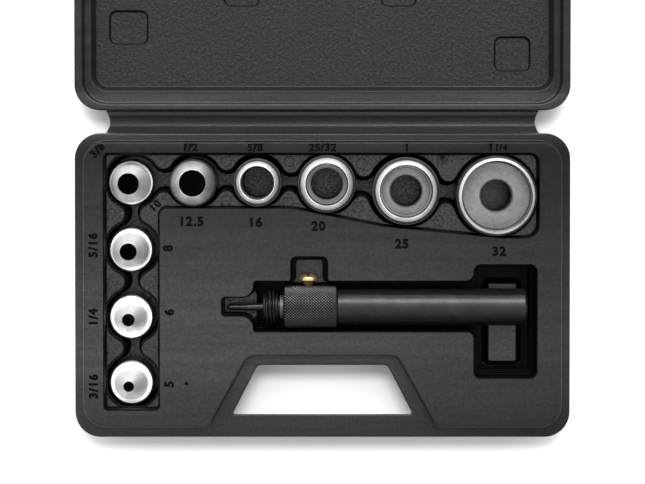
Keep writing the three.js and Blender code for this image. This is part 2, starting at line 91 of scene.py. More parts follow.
# Wells: the head that stands in each, its middle and its radius.
WELLS = [
    ("5mm", -89.3, -122.0, 12.6),
    ("6mm", -89.3, -91.0, 12.6),
    ("8mm", -89.3, -59.3, 12.6),
    ("10mm", -89.3, -27.6, 12.6),
    ("12_5mm", -60.0, -27.5, 12.4),
    ("16mm", -30.3, -27.6, 12.3),
    ("20mm", 1.9, -29.0, 14.0),
    ("25mm", 38.7, -32.0, 16.9),
    ("32mm", 81.1, -34.4, 19.4),
]

CHANNEL = {"left": -32.0, "near": -74.7, "far": -97.9, "floor": 14.2}
TIP_SLOT = {"left": -46.9, "near": -82.2, "far": -90.5, "floor": 20.5}
NOTCH = {"left": -14.6, "right": 2.1, "near": -63.3, "floor": 17.0}
THUMB = {"left": 71.1, "right": 100.0, "near": -67.0, "far": -119.7, "floor": 11.0}
NOTCH_NARROWING = 0.9  # how much further in the foot of the screw notch's walls stands
SADDLE = {"left": 78.3, "right": 92.4, "near": -76.5, "far": -114.3, "top": 15.45}
SADDLE_SIDE = [  # from its foot to its top, as (inset, z)
    (-2.4, 11.0), (-2.0, 11.15), (-1.4, 11.7), (-0.7, 12.9), (-0.3, 14.3), (0.0, 15.0), (0.2, 15.3),
    (0.7, 15.45),
]

# Square dimples in the lid's panel: middle, width and depth.
TACKS = [
    (-92.2, 44.7, 18.1, 15.8),
    (-38.4, 63.0, 16.6, 16.2),
    (36.3, 63.0, 16.6, 16.2),
    (90.3, 32.1, 16.8, 16.2),
    (-90.0, 112.0, 16.8, 16.2),
    (90.0, 104.0, 16.8, 16.2),
]

# Numerals on the base: text, middle, cap height, turn in degrees.
NUMERALS = [
    ("1/2", -61.4, -11.85, 3.2, 0),
    ("5/8", -31.4, -11.85, 3.2, 0),
    ("25/32", 0.0, -11.85, 3.2, 0),
    ("1", 39.4, -11.85, 3.2, 0),
    ("1", 78.6, -11.85, 3.2, 0),
    ("1/4", 83.5, -11.95, 2.6, 0),
    ("3/8", -105.0, -13.2, 3.3, 45),
    ("5/16", -107.2, -57.6, 3.7, 90),
    ("1/4", -107.2, -90.9, 3.7, 90),
    ("3/16", -107.2, -123.7, 3.7, 90),
    ("12.5", -60.9, -46.4, 3.9, 0),
    ("16", -30.9, -46.8, 3.9, 0),
    ("20", -1.9, -48.6, 3.9, 0),
    ("25", 37.0, -56.9, 3.9, 0),
    ("32", 82.5, -60.4, 3.9, 0),
    ("8", -72.2, -59.0, 3.9, 90),
    ("6", -71.7, -89.0, 3.9, 90),
    ("5", -71.7, -122.7, 3.9, 90),
]
ISLAND_NUMERALS = [("10", -78.3, -39.1, 3.3, 45)]

# Plain round mould marks on the islands between the wells, and the two on the plateau.
ISLAND_MARKS = [
    (-15.7, -18.6), (18.3, -19.6), (-16.2, -37.6), (16.7, -40.0), (56.3, -17.8), (54.6, -46.5),
    (-45.2, -18.6), (-45.4, -37.0), (-99.2, -43.3), (-80.6, -75.0), (-99.0, -75.2),
    (-80.6, -106.6), (-99.0, -106.8),
]
PLATEAU_MARK = (96.1, -60.9)
PLATEAU_DOT = (-63.7, -122.3)

# Paints are places in a piece's material list. Those of the base's inside and of the lid's:
# DARK is painted deep shade, WALL painted shade and LIGHT painted light, all on the same black plastic.
PLAIN, POCKET, DARK, WALL, LIGHT = range(5)
# TACK is painted shade on the walls of the lid's dimples.
LEATHER, TACK = 1, 2

# Discs on well floors under a head's bore: painted shade under the narrower bores and painted light under
# the widest.
PAINTED_SPOT_RADIUS = 8.6
PAINTED_BORE_SPOTS = {"8mm": WALL, "10mm": WALL, "12_5mm": WALL, "32mm": LIGHT}


# ------------------------------------------------------------------ outlines


def rectangle(left, right, low, high, radius):
    """Corner list [x, y, radius], counter-clockwise."""
    return [(left, low, radius), (right, low, radius), (right, high, radius), (left, high, radius)]


def inset_corners(corners, inset):
    """The corner list with every side moved inwards by inset."""
    moved = []
    for i, (x, y, radius) in enumerate(corners):
        at = Vector((x, y))
        way = (at - Vector(corners[i - 1][:2])).normalized()
        onward = (Vector(corners[(i + 1) % len(corners)][:2]) - at).normalized()
        turn = way.cross(onward)
        shift = (onward - way) * (inset / turn)
        kept = radius - inset if turn > 0 else radius + inset
        moved.append((x + shift.x, y + shift.y, max(kept, 0.25)))
    return moved


def on_base(corners):
    """Outlines are given on the base half, so they stay where they are."""
    return corners


def on_lid(corners):
    """The same outline on the lid half, which lies over this one when the case is shut."""
    return [(-x, -y, radius) for x, y, radius in corners]


def arc(middle, radius, first, sweep, steps, count):
    """The first count points of an arc that is cut into steps."""
    turns = [first + sweep * k / steps for k in range(count)]
    return [(middle.x + radius * math.cos(turn), middle.y + radius * math.sin(turn)) for turn in turns]


class Outline:
    """A closed outline of straight sides and round corners. Insets of it have points that correspond."""

    def __init__(self, corners, steps=8, reach=7.0, counts=None):
        self.corners = corners
        self.steps = steps
        self.counts = counts or [
            max(1, math.ceil(math.dist(a[:2], b[:2]) / reach))
            for a, b in zip(corners, corners[1:] + corners[:1])
        ]

    def points(self, inset=0.0):
        corners = inset_corners(self.corners, inset)
        rounds = [self.corner(corners, i) for i in range(len(corners))]
        points = []
        for here, following, count in zip(rounds, rounds[1:] + rounds[:1], self.counts):
            points += here
            last, first = Vector(here[-1]), Vector(following[0])
            points += [tuple(last.lerp(first, k / count)) for k in range(1, count)]
        return points

    def corner(self, corners, i):
        x, y, radius = corners[i]
        at = Vector((x, y))
        back = (Vector(corners[i - 1][:2]) - at).normalized()
        onward = (Vector(corners[(i + 1) % len(corners)][:2]) - at).normalized()
        half = math.acos(max(-1.0, min(1.0, back.dot(onward)))) / 2
        middle = at + (back + onward).normalized() * (radius / math.sin(half))
        start = at + back * (radius / math.tan(half)) - middle
        sweep = math.pi - 2 * half
        if back.cross(onward) > 0:
            sweep = -sweep
        return arc(middle, radius, math.atan2(start.y, start.x), sweep, self.steps, self.steps + 1)

    def ring(self, inset, z):
        return [(x, y, z) for x, y in self.points(inset)]


def circle(x, y, radius, sides=28):
    turns = [2 * math.pi * k / sides for k in range(sides)]
    return [(x + radius * math.cos(turn), y + radius * math.sin(turn)) for turn in turns]


def ring(radius, height, sides):
    """A round section of a turned piece about Z."""
    return [(x, y, height) for x, y in circle(0.0, 0.0, radius, sides)]


def hollow(top, bottom, rim, foot, draft, steps=4):
    """Side of a pocket from its rim to its floor, as (inset, z)."""
    turns = [math.pi / 2 * k / steps for k in range(steps + 1)]
    return ([(-rim + rim * math.sin(t), top - rim + rim * math.cos(t)) for t in turns]
            + [(draft + foot - foot * math.cos(t), bottom + foot - foot * math.sin(t)) for t in turns])


def raised(bottom, top, foot, rim, draft):
    """Side of a raised block from its foot to its rim, as (inset, z)."""
    turns = [math.pi / 2 * k / 4 for k in range(5)]
    return ([(-foot + foot * math.sin(t), bottom + foot - foot * math.cos(t)) for t in turns]
            + [(draft + rim - rim * math.cos(t), top - rim + rim * math.sin(t)) for t in turns])


CASE_OUTLINE = rectangle(
    -CASE["half_width"], CASE["half_width"], -CASE["far"], -CASE["near"], CASE["corner"])

PLATEAU_OUTLINE = [
    (-PLATEAU["half_width"], -PLATEAU["far"], PLATEAU["corner"]),
    (-HANDLE_FRAME["far_half"], -PLATEAU["far"], 5.0),
    (-HANDLE_FRAME["near_half"], -HANDLE_FRAME["near"], 6.0),
    (HANDLE_FRAME["near_half"], -HANDLE_FRAME["near"], 6.0),
    (HANDLE_FRAME["far_half"], -PLATEAU["far"], 5.0),
    (PLATEAU["half_width"], -PLATEAU["far"], PLATEAU["corner"]),
    (PLATEAU["half_width"], -PLATEAU["near"], PLATEAU["corner"]),
    (-PLATEAU["half_width"], -PLATEAU["near"], PLATEAU["corner"]),
]

RECESS_OUTLINE = [
    (-102.0, -134.6, 1.6),
    (-76.6, -134.6, 1.6),
    (-76.6, -40.0, 3.7),
    (-14.0, -40.0, 40.0),
    (28.0, -48.4, 60.0),
    (84.0, -53.9, 30.0),
    (100.9, -53.9, 6.0),
    (100.9, -14.9, 4.0),
    (-102.0, -14.9, 1.6),
]


def handle_corners(level):
    """The handle opening at a level. Its far side, which is the bar, leans away below the top."""
    lean = 2.8 * min(1.0, (FLANGE_TOP - level) / 12.0)
    far = HANDLE["far"] + lean
    spread = (HANDLE["far_half"] - HANDLE["near_half"]) / (HANDLE["far"] - HANDLE["near"])
    half = HANDLE["near_half"] + spread * (far - HANDLE["near"])
    return [(-half, -far, 0.8), (half, -far, 0.8), (HANDLE["near_half"], -HANDLE["near"], 3.3),
            (-HANDLE["near_half"], -HANDLE["near"], 3.3)]


def notched_corners(inset):
    """The base below the handle bar: the case's outline with the bar and its opening left out."""
    far, half = CASE["far"], CASE["half_width"]
    corners = [
        (-half, -far, CASE["corner"]),
        (-HANDLE["far_half"] - 9.6, -far, 3.0),
        (-HANDLE["near_half"] - 0.3, -HANDLE["near"] + 0.3, 3.3),
        (HANDLE["near_half"] + 0.3, -HANDLE["near"] + 0.3, 3.3),
        (HANDLE["far_half"] + 9.6, -far, 3.0),
        (half, -far, CASE["corner"]),
        (half, -CASE["near"], CASE["corner"]),
        (-half, -CASE["near"], CASE["corner"]),
    ]
    outer = inset_corners(corners, inset)
    inner = inset_corners(corners, 0.15)
    left, right = (inner[1][0], outer[1][1], 3.0), (inner[4][0], outer[4][1], 3.0)
    return [outer[0], left, inner[2], inner[3], right, *outer[5:]]


def waist(first, second):
    """Where two circles meet, to the right of the way from one middle to the other."""
    (start, radius), (end, next_radius) = first, second
    along = end - start
    distance = along.length
    along.normalize()
    step = (distance**2 + radius**2 - next_radius**2) / (2 * distance)
    rise = math.sqrt(radius**2 - step**2)
    return start + along * step + Vector((along.y, -along.x)) * rise


def turn_about(middle, radius, start, end, steps, way):
    """An arc from the direction of start to that of end. way: 1 counter-clockwise, -1 clockwise."""
    first = math.atan2(start.y - middle.y, start.x - middle.x)
    sweep = math.atan2(end.y - middle.y, end.x - middle.x) - first
    sweep = way * ((way * sweep) % (2 * math.pi))
    return arc(middle, radius, first, sweep, steps, steps)


def well_chain(grow):
    """The outline round all the wells and the waists that join them, moved outwards by grow."""
    fillet = WAIST_RADIUS - grow
    rounds = [(Vector((x, y)), radius + grow) for _, x, y, radius in WELLS]
    widened = [(middle, radius + fillet) for middle, radius in rounds]
    there = list(range(len(rounds)))
    route = there + there[-2:0:-1]
    points = []
    for k, here in enumerate(route):
        before, after = route[k - 1], route[(k + 1) % len(route)]
        middle, radius = rounds[here]
        arriving = waist(widened[before], widened[here])
        leaving = waist(widened[here], widened[after])
        steps = 14 * (3 if here in (0, len(rounds) - 1) else 1)
        points += turn_about(middle, radius, arriving, leaving, steps, 1)
        points += turn_about(leaving, fillet, middle, rounds[after][0], 8, -1)
    return points


def encloses(loop, x, y):
    inside = False
    for (x1, y1), (x2, y2) in zip(loop, loop[1:] + loop[:1]):
        if (y1 > y) != (y2 > y) and x < x1 + (y - y1) * (x2 - x1) / (y2 - y1):
            inside = not inside
    return inside


def area_of(loop):
    return sum(a[0] * b[1] - b[0] * a[1] for a, b in zip(loop, loop[1:] + loop[:1])) / 2


def oriented(loops):
    """Outer loops counter-clockwise and the loops inside them clockwise."""
    turned = []
    for loop in loops:
        around = sum(1 for other in loops if other is not loop and encloses(other, *loop[0]))
        wanted = 1 if around % 2 == 0 else -1
        turned.append(loop if area_of(loop) * wanted > 0 else loop[::-1])
    return turned


def keep_inside(points, fence):
    """Points outside the fence, a closed outline, are moved onto it."""
    sides = list(zip(fence, fence[1:] + fence[:1]))

    def onto(x, y):
        at = Vector((x, y))
        nearest = []
        for start, end in sides:
            start, side = Vector(start), Vector(end) - Vector(start)
            share = min(1.0, max(0.0, (at - start).dot(side) / side.length_squared))
            nearest.append(start + side * share)
        return tuple(min(nearest, key=lambda point: (point - at).length_squared))

    return [point if encloses(fence, *point) else onto(*point) for point in points]


# ------------------------------------------------------------------ meshes


class Skin:
    """A surface in millimetres, built of lofted walls and flat floors."""

    def __init__(self):
        self.points = []
        self.faces = []
        self.paints = []

    def loft(self, rings, paint=0):
        """Joins closed rings of equally many points, each to the next."""
        count = len(rings[0])
        start = len(self.points)
        for section in rings:
            self.points += section
        for level in range(len(rings) - 1):
            low = start + level * count
            for i in range(count):
                j = (i + 1) % count
                self.faces.append((low + i, low + j, low + count + j, low + count + i))
                self.paints.append(paint)

    def wall(self, outline, profile, paint=0):
        """Lofts the outline along a profile and returns its first and last outline points."""
        self.loft([outline.ring(inset, z) for inset, z in profile], paint)
        return outline.points(profile[0][0]), outline.points(profile[-1][0])

    def floor(self, loops, z, paint=0, down=False):
        """A flat face at z. A point is part of it when an odd number of the loops go round it."""
        points, rings = [], []
        for loop in loops:
            forward = loop if area_of(loop) > 0 else loop[::-1]
            rings.append(tuple(range(len(points), len(points) + len(loop))))
            points += [Vector(p[:2]) for p in forward]
        made, _, triangles, _, _, origins = delaunay_2d_cdt(points, [], rings, 1, 1e-5, True)
        start = len(self.points)
        self.points += [(p.x, p.y, z) for p in made]
        for triangle, inside in zip(triangles, origins):
            if len(inside) % 2:
                ids = tuple(start + i for i in triangle)
                self.faces.append(ids[::-1] if down else ids)
                self.paints.append(paint)

    def turned(self, section, sides):
        """A turned band round Z for each (radius, height, paint) of a section, up to its next point."""
        for (low, bottom, paint), (high, top, _) in zip(section, section[1:]):
            self.loft([ring(low, bottom, sides), ring(high, top, sides)], paint)

    def cap(self, outline):
        """Closes a loft's end. The order of the points gives the side that shows."""
        start = len(self.points)
        self.points += outline
        self.faces.append(tuple(range(start, start + len(outline))))
        self.paints.append(0)

    def repaint(self, first, paint, chosen):
        """Another paint for the faces from number first on whose corner points pass the test."""
        for k in range(first, len(self.faces)):
            if chosen([self.points[i] for i in self.faces[k]]):
                self.paints[k] = paint

    def build(self, name, materials, thickness=0.0, sharp=32.0):
        """Makes the object, in metres. thickness grows away from the side that shows."""
        mesh = bpy.data.meshes.new(name)
        mesh.from_pydata([(x * MM, y * MM, z * MM) for x, y, z in self.points], [], self.faces)
        for material in materials:
            mesh.materials.append(material)
        mesh.polygons.foreach_set("material_index", self.paints)
        work = bmesh.new()
        work.from_mesh(mesh)
        bmesh.ops.remove_doubles(work, verts=work.verts, dist=WELD)
        bmesh.ops.dissolve_degenerate(work, edges=work.edges, dist=WELD / 4)
        work.to_mesh(mesh)
        work.free()
        mesh.shade_smooth()
        mesh.set_sharp_from_angle(angle=math.radians(sharp))
        piece = bpy.data.objects.new(name, mesh)
        bpy.context.scene.collection.objects.link(piece)
        if thickness:
            solid = piece.modifiers.new("thickness", "SOLIDIFY")
            solid.thickness = thickness * MM
            solid.offset = -1.0
            solid.use_even_offset = True
            solid.thickness_clamp = 1.0
        weighted = piece.modifiers.new("normals", "WEIGHTED_NORMAL")
        weighted.keep_sharp = True
        weighted.weight = 60
        return piece


def lettering(text, x, y, height, turn):
    """Closed loops of a text's outlines, centred on x, y."""
    curve = bpy.data.curves.new("lettering", "FONT")
    curve.body = text
    curve.size = height / 0.67
    curve.space_character = 1.18
    curve.resolution_u = 3
    curve.offset = 0.08 * height
    writing = bpy.data.objects.new("lettering", curve)
    bpy.context.scene.collection.objects.link(writing)
    bpy.context.view_layer.update()
    mesh = bpy.data.meshes.new_from_object(writing)
    work = bmesh.new()
    work.from_mesh(mesh)
    bmesh.ops.remove_doubles(work, verts=work.verts, dist=1e-4)
    loops = []
    edges = {e for e in work.edges if len(e.link_faces) == 1}
    while edges:
        edge = min(edges, key=lambda e: e.index)
        edges.discard(edge)
        first, at = edge.verts
        loop = [first]
        while at is not first:
            loop.append(at)
            onward = [e for e in at.link_edges if e in edges]
            if not onward:
                break
            edges.discard(onward[0])
            at = onward[0].other_vert(at)
        loops.append([v.co.copy() for v in loop])
    work.free()
    low = Vector((min(p.x for l in loops for p in l), min(p.y for l in loops for p in l)))
    high = Vector((max(p.x for l in loops for p in l), max(p.y for l in loops for p in l)))
    middle = (low + high) / 2
    cos, sin = math.cos(math.radians(turn)), math.sin(math.radians(turn))
    placed = []
    for loop in loops:
        shifted = [(p.x - middle.x, p.y - middle.y) for p in loop]
        placed.append([(x + u * cos - v * sin, y + u * sin + v * cos) for u, v in shifted])
    bpy.data.objects.remove(writing)
    bpy.data.curves.remove(curve)
    bpy.data.meshes.remove(mesh)
    return placed


def engrave(skin, loops, z, depth, paint):
    """Sinks the area inside the loops below a floor at z that has the same loops in it."""
    for loop in loops:
        skin.loft([[(x, y, level) for x, y in loop] for level in (z, z - depth)], paint)
    skin.floor(loops, z - depth, paint)


def ring_mark(skin, x, y, z, radius=2.35, width=0.32, height=0.16):
    """A low raised ring on a floor at z, and the two loops to leave open in that floor."""
    outer, inner = radius + width / 2, radius - width / 2
    shape = [(outer, 0.0), (outer - width * 0.25, height), (inner + width * 0.25, height), (inner, 0.0)]
    skin.loft([[(px, py, z + rise) for px, py in circle(x, y, size)] for size, rise in shape])
    return [circle(x, y, outer), circle(x, y, inner)]


# ------------------------------------------------------------------ materials


def set_stops(node, stops):
    """stops: (position, grey value or colour), from low to high."""
    elements = node.color_ramp.elements
    while len(elements) < len(stops):
        elements.new(0.5)
    for element, (position, colour) in zip(elements, stops):
        element.position = position
        element.color = (*colour, 1.0) if hasattr(colour, "__len__") else (colour, colour, colour, 1.0)


class Shader:
    """A node material that is put together step by step, in object space."""

    def __init__(self, name, colour, roughness, metallic=0.0):
        self.material = bpy.data.materials.new(name)
        self.material.use_nodes = True
        self.nodes = self.material.node_tree.nodes
        self.links = self.material.node_tree.links
        self.bsdf = self.nodes["Principled BSDF"]
        self.bsdf.inputs["Base Color"].default_value = (*colour, 1.0)
        self.bsdf.inputs["Roughness"].default_value = roughness
        self.bsdf.inputs["Metallic"].default_value = metallic
        self.place = self.nodes.new("ShaderNodeTexCoord").outputs["Object"]

    def stretched(self, scale):
        node = self.nodes.new("ShaderNodeMapping")
        node.inputs["Scale"].default_value = scale
        self.links.new(self.place, node.inputs["Vector"])
        return node.outputs["Vector"]

    def grain(self, scale, detail=3.0, rough=0.6, vector=None):
        node = self.nodes.new("ShaderNodeTexNoise")
        node.inputs["Scale"].default_value = scale
        node.inputs["Detail"].default_value = detail
        node.inputs["Roughness"].default_value = rough
        self.links.new(vector or self.place, node.inputs["Vector"])
        return node.outputs["Fac"]

    def cells(self, scale):
        node = self.nodes.new("ShaderNodeTexVoronoi")
        node.inputs["Scale"].default_value = scale
        self.links.new(self.place, node.inputs["Vector"])
        return node.outputs["Distance"]

    def ramp(self, value, *stops):
        """A colour from a value. stops: (position, grey value or colour), from low to high."""
        node = self.nodes.new("ShaderNodeValToRGB")
        set_stops(node, stops)
        self.links.new(value, node.inputs["Fac"])
        return node.outputs["Color"]

    def along(self, axis, stops):
        """A grey that changes along an axis. stops: (millimetres, grey), from low to high."""
        split = self.nodes.new("ShaderNodeSeparateXYZ")
        self.links.new(self.place, split.inputs[0])
        share = self.nodes.new("ShaderNodeMapRange")
        first, last = stops[0][0], stops[-1][0]
        share.inputs["From Min"].default_value = first * MM
        share.inputs["From Max"].default_value = last * MM
        self.links.new(split.outputs[axis], share.inputs["Value"])
        shares = [((at - first) / (last - first), grey) for at, grey in stops]
        return self.ramp(share.outputs["Result"], *shares)

    def mix(self, factor, first, second, blend="MIX"):
        node = self.nodes.new("ShaderNodeMix")
        node.data_type = "RGBA"
        node.blend_type = blend
        for socket, value in ((node.inputs[0], factor), (node.inputs[6], first), (node.inputs[7], second)):
            if hasattr(value, "is_output"):
                self.links.new(value, socket)
            elif hasattr(value, "__len__"):
                socket.default_value = (*value, 1.0)
            else:
                socket.default_value = value if socket == node.inputs[0] else (value, value, value, 1.0)
        return node.outputs[2]

    def times(self, first, second):
        return self.mix(1.0, first, second, "MULTIPLY")

    def fans(self, flat, depth):
        """Painted highlights: soft wedges about Z, light to +Y and -Y, darker to +X and a little to -X."""
        way = self.nodes.new("ShaderNodeVectorMath")
        way.operation = "NORMALIZE"
        self.links.new(flat, way.inputs[0])
        split = self.nodes.new("ShaderNodeSeparateXYZ")
        self.links.new(way.outputs["Vector"], split.inputs[0])
        share = self.nodes.new("ShaderNodeMapRange")
        share.inputs["From Min"].default_value = -1.0
        self.links.new(split.outputs["X"], share.inputs["Value"])
        stops = [(0.0, 1.0 - depth * 0.45), (0.2, 1.0), (0.72, 1.0), (0.98, 1.0 - depth)]
        waves = self.grain(1.3, 2.0, 0.5, way.outputs["Vector"])
        ripple = self.ramp(waves, (0.35, 1.0 - depth * 0.4), (0.55, 1.0))
        return self.times(self.ramp(share.outputs["Result"], *stops), ripple)

    def drive(self, name, value):
        self.links.new(value, self.bsdf.inputs[name])

    def bump(self, *layers):
        """layers: (height, distance in millimetres, strength)."""
        normal = None
        for height, distance, strength in layers:
            node = self.nodes.new("ShaderNodeBump")
            node.inputs["Distance"].default_value = distance * MM
            node.inputs["Strength"].default_value = strength
            self.links.new(height, node.inputs["Height"])
            if normal is not None:
                self.links.new(normal, node.inputs["Normal"])
            normal = node.outputs["Normal"]
        self.drive("Normal", normal)


def plastic(name, grain_size, grain_depth, light=0.009, sheen=0.42, grit=0.28, streaks=0.0, leather=0.0,
            along_x=(), along_y=()):
    """Black moulded polyethylene with a fine grain and slight differences in sheen.

    grit, streaks: how much the sheen varies in fine grains and in long marks along X. leather: size of the
    cells of a leather grain in millimetres. along_x, along_y: (millimetres, share of the sheen), a painted
    highlight and shade that make the sheen lighter or darker by place.
    """
    shader = Shader(name, (light, light, light), 0.5)
    tone = shader.ramp(shader.grain(26.0, 5.0, 0.65), (0.3, light * 0.86), (0.7, light * 1.1))
    specks = shader.ramp(shader.grain(1500.0, 2.0, 0.7), (0.62, 0.0), (0.8, 1.0))
    shader.drive("Base Color", shader.mix(specks, tone, light * 1.5))
    shader.drive("Roughness", shader.ramp(shader.grain(60.0, 6.0, 0.7), (0.3, 0.30), (0.7, 0.40)))
    low, high = sheen * (1 - grit), sheen * (1 + grit)
    gloss = shader.ramp(shader.grain(900.0, 3.0, 0.7), (0.32, low), (0.68, high))
    if streaks:
        marks = shader.grain(1.0, 5.0, 0.62, shader.stretched((14.0, 260.0, 20.0)))
        gloss = shader.times(gloss, shader.ramp(marks, (0.3, 1.0 - streaks), (0.7, 1.0)))
    # Painted highlight and shade: the sheen made lighter or darker by place along X and Y.
    for axis, stops in (("X", along_x), ("Y", along_y)):
        if stops:
            gloss = shader.times(gloss, shader.along(axis, stops))
    shader.drive("Specular IOR Level", gloss)
    fine = shader.grain(1000.0 / grain_size, 2.0, 0.6)
    layers = [(shader.grain(55.0, 3.0, 0.5), 0.5, 0.10), (fine, grain_depth, 0.8)]
    if leather:
        layers.append((shader.cells(1000.0 / leather), 0.16, 0.7))
    shader.bump(*layers)
    return shader.material


def oxide(name, tone, rough, along_y=()):
    """Black-oxided steel with a satin sheen and slight wear. along_y: (millimetres, share of the tone),
    painted shade.
    """
    shader = Shader(name, (tone, tone, tone), rough, metallic=0.75)
    wear = shader.grain(120.0, 6.0, 0.65)
    patches = shader.ramp(wear, (0.35, tone * 0.8), (0.62, tone * 1.15), (0.8, tone * 1.9))
    # Painted shade: the tone darkened by place along Y.
    if along_y:
        patches = shader.times(patches, shader.along("Y", along_y))
    shader.drive("Base Color", patches)
    dull = shader.grain(300.0, 4.0, 0.6)
    shader.drive("Roughness", shader.ramp(dull, (0.3, rough - 0.06), (0.7, rough + 0.1)))
    shader.bump((shader.grain(2400.0, 2.0, 0.6), 0.03, 0.5))
    return shader.material


def turned_steel(name, tone, rough, rust=0.0, mottle=0.0, metallic=0.55, glints=0.0, along_z=()):
    """Bright turned steel about its object's own Z axis, with fine rings, rust specks and stains.

    glints: depth of the painted highlight wedges. along_z: (millimetres above the foot, share of the tone),
    painted shade that darkens the steel lower down.
    """
    shader = Shader(name, (tone, tone, tone * 0.98), rough, metallic=metallic)
    distance = shader.nodes.new("ShaderNodeVectorMath")
    distance.operation = "LENGTH"
    flat = shader.stretched((1.0, 1.0, 0.0))
    shader.links.new(flat, distance.inputs[0])
    rings = shader.nodes.new("ShaderNodeTexNoise")
    rings.noise_dimensions = "1D"
    rings.inputs["Scale"].default_value = 3200.0
    rings.inputs["Detail"].default_value = 2.0
    shader.links.new(distance.outputs["Value"], rings.inputs["W"])
    lines = rings.outputs["Fac"]
    dark, bright = (tone * 0.72, tone * 0.715, tone * 0.70), (tone, tone, tone * 0.985)
    base = shader.ramp(lines, (0.3, dark), (0.7, bright))
    # Painted highlight: light and dark wedges about Z.
    if glints:
        base = shader.times(base, shader.fans(flat, glints))
    # Painted shade: the tone darker lower down.
    if along_z:
        base = shader.times(base, shader.along("Z", along_z))
    if mottle:
        dull = shader.ramp(shader.grain(420.0, 5.0, 0.7), (0.42, 0.0), (0.62, mottle))
        base = shader.mix(dull, base, (tone * 0.35, tone * 0.34, tone * 0.32))
    if rust:
        painted_spots = shader.ramp(shader.grain(900.0, 4.0, 0.75), (0.66 - 0.06 * rust, 0.0), (0.72, 1.0))
        base = shader.mix(painted_spots, base, (0.12, 0.07, 0.045))
    shader.drive("Base Color", base)
    tangent = shader.nodes.new("ShaderNodeTangent")
    tangent.direction_type = "RADIAL"
    tangent.axis = "Z"
    shader.drive("Tangent", tangent.outputs["Tangent"])
    shader.bsdf.inputs["Anisotropic"].default_value = 0.7
    polish = shader.grain(500.0, 4.0, 0.6)
    shader.drive("Roughness", shader.ramp(polish, (0.3, rough * 0.8), (0.7, rough * 1.3)))
    shader.bump((lines, 0.02, 0.5))
    return shader.material


def brass_metal(name):
    """Turned brass, slightly tarnished."""
    shader = Shader(name, (0.62, 0.47, 0.22), 0.3, metallic=0.85)
    stains = shader.grain(700.0, 5.0, 0.7)
    shader.drive("Base Color", shader.ramp(stains, (0.4, (0.72, 0.54, 0.23)), (0.7, (0.42, 0.30, 0.14))))
    shader.drive("Roughness", shader.ramp(shader.grain(900.0, 3.0, 0.6), (0.3, 0.22), (0.7, 0.42)))
    shader.bump((shader.grain(2600.0, 2.0, 0.6), 0.03, 0.4))
    return shader.material


# Painted highlight and shade: the base's sheen is made lighter or darker across and down the half, as the
# light falls on it.
PAINTED_SHEEN_ACROSS_BASE = ((-110.0, 0.78), (-40.0, 0.74), (40.0, 0.64), (112.0, 0.46))
PAINTED_SHEEN_DOWN_BASE = (
    (-146.0, 0.62), (-136.0, 0.66), (-110.0, 1.08), (-85.0, 0.92), (-55.0, 0.62), (-13.0, 0.27),
    (-6.0, 0.6),
)
BASE_PLASTIC = plastic(
    "base_plastic", 0.55, 0.05, sheen=1.0, streaks=0.3, along_x=PAINTED_SHEEN_ACROSS_BASE, along_y=PAINTED_SHEEN_DOWN_BASE)
POCKET_PLASTIC = plastic("pocket_plastic", 0.9, 0.10, light=0.008, sheen=0.54, grit=0.7)
# Painted shade: near-black plastic on the walls of pockets and wells, on ledges, on the channel floor under
# the mandrel and on floor discs under narrow bores.
WALL_SHADE_PLASTIC = plastic("wall_shade_plastic", 0.6, 0.05, light=0.002, sheen=0.05)
# Painted light: lighter plastic on the saddle's top and far slope, the screw notch's floor and the floor
# under the widest bore.
PAINTED_LIGHT_PLASTIC = plastic("painted_light_plastic", 0.6, 0.06, light=0.011, sheen=0.62, grit=0.35)
# Painted highlight: the sheen of the lid's flange, band and the hinge strip is made lighter near the hinge.
PAINTED_SHEEN_DOWN_LID = ((-5.4, 0.9), (1.6, 1.1), (3.2, 1.8), (12.5, 1.9), (14.5, 1.0), (20.0, 1.0))
LID_PLASTIC = plastic("lid_plastic", 0.55, 0.05, light=0.010, sheen=0.33, streaks=0.45, along_y=PAINTED_SHEEN_DOWN_LID)
LEATHER_PLASTIC = plastic("leather_plastic", 0.8, 0.16, light=0.009, sheen=0.30, grit=0.5, leather=1.5)
# Painted shade: dark plastic on the walls of the lid's dimples.
TACK_SHADE_PLASTIC = plastic("tack_shade_plastic", 0.6, 0.05, light=0.004, sheen=0.14)
SHELL_PLASTIC = plastic("shell_plastic", 0.9, 0.09)
# Painted shade: near-black plastic in the engraved numerals, the plateau's dot and the thumb well's floor.
DEEP_SHADE_PLASTIC = plastic("deep_shade_plastic", 0.4, 0.03, light=0.002, sheen=0.06)
OXIDE = oxide("black_oxide", 0.033, 0.23)
# Dark oxide of the nose, also used as painted shade in the knurl's grooves and on the grip's front chamfer.
DARK_OXIDE_AND_SHADE = oxide("dark_oxide_and_shade", 0.014, 0.3)
# The knurl's crests: lighter oxide, with painted shade that darkens them towards -Y.
KNURL_SHADED_OXIDE = oxide("knurl_shaded_oxide", 0.14, 0.3, ((-9.0, 0.2), (-4.0, 0.4), (1.0, 0.85), (7.0, 0.95)))
# Painted highlight on the nose thread's crests.
CREST_HIGHLIGHT_OXIDE = oxide("crest_highlight_oxide", 0.06, 0.3)
BAR_OXIDE = oxide("bar_oxide", 0.030, 0.2)
CONE_STEEL = turned_steel("bright_cone", 0.84, 0.34, rust=0.1, metallic=0.42, glints=0.5)
COLLAR_STEEL = turned_steel("bright_collar", 0.98, 0.34, rust=0.1, metallic=0.3, glints=0.12)
# Painted shade: the ring's tone darker lower down its bevel.
RING_SHADE_BY_HEIGHT = ((18.6, 0.22), (20.6, 0.45), (22.4, 0.85), (24.0, 1.0))
RING_STEEL = turned_steel(
    "bright_ring", 0.92, 0.34, rust=0.2, metallic=0.42, glints=0.45, along_z=RING_SHADE_BY_HEIGHT)
# Painted shade: the worn bevel's tone darker lower down.
WORN_SHADE_BY_HEIGHT = ((18.4, 0.26), (21.6, 0.66), (24.0, 1.0))
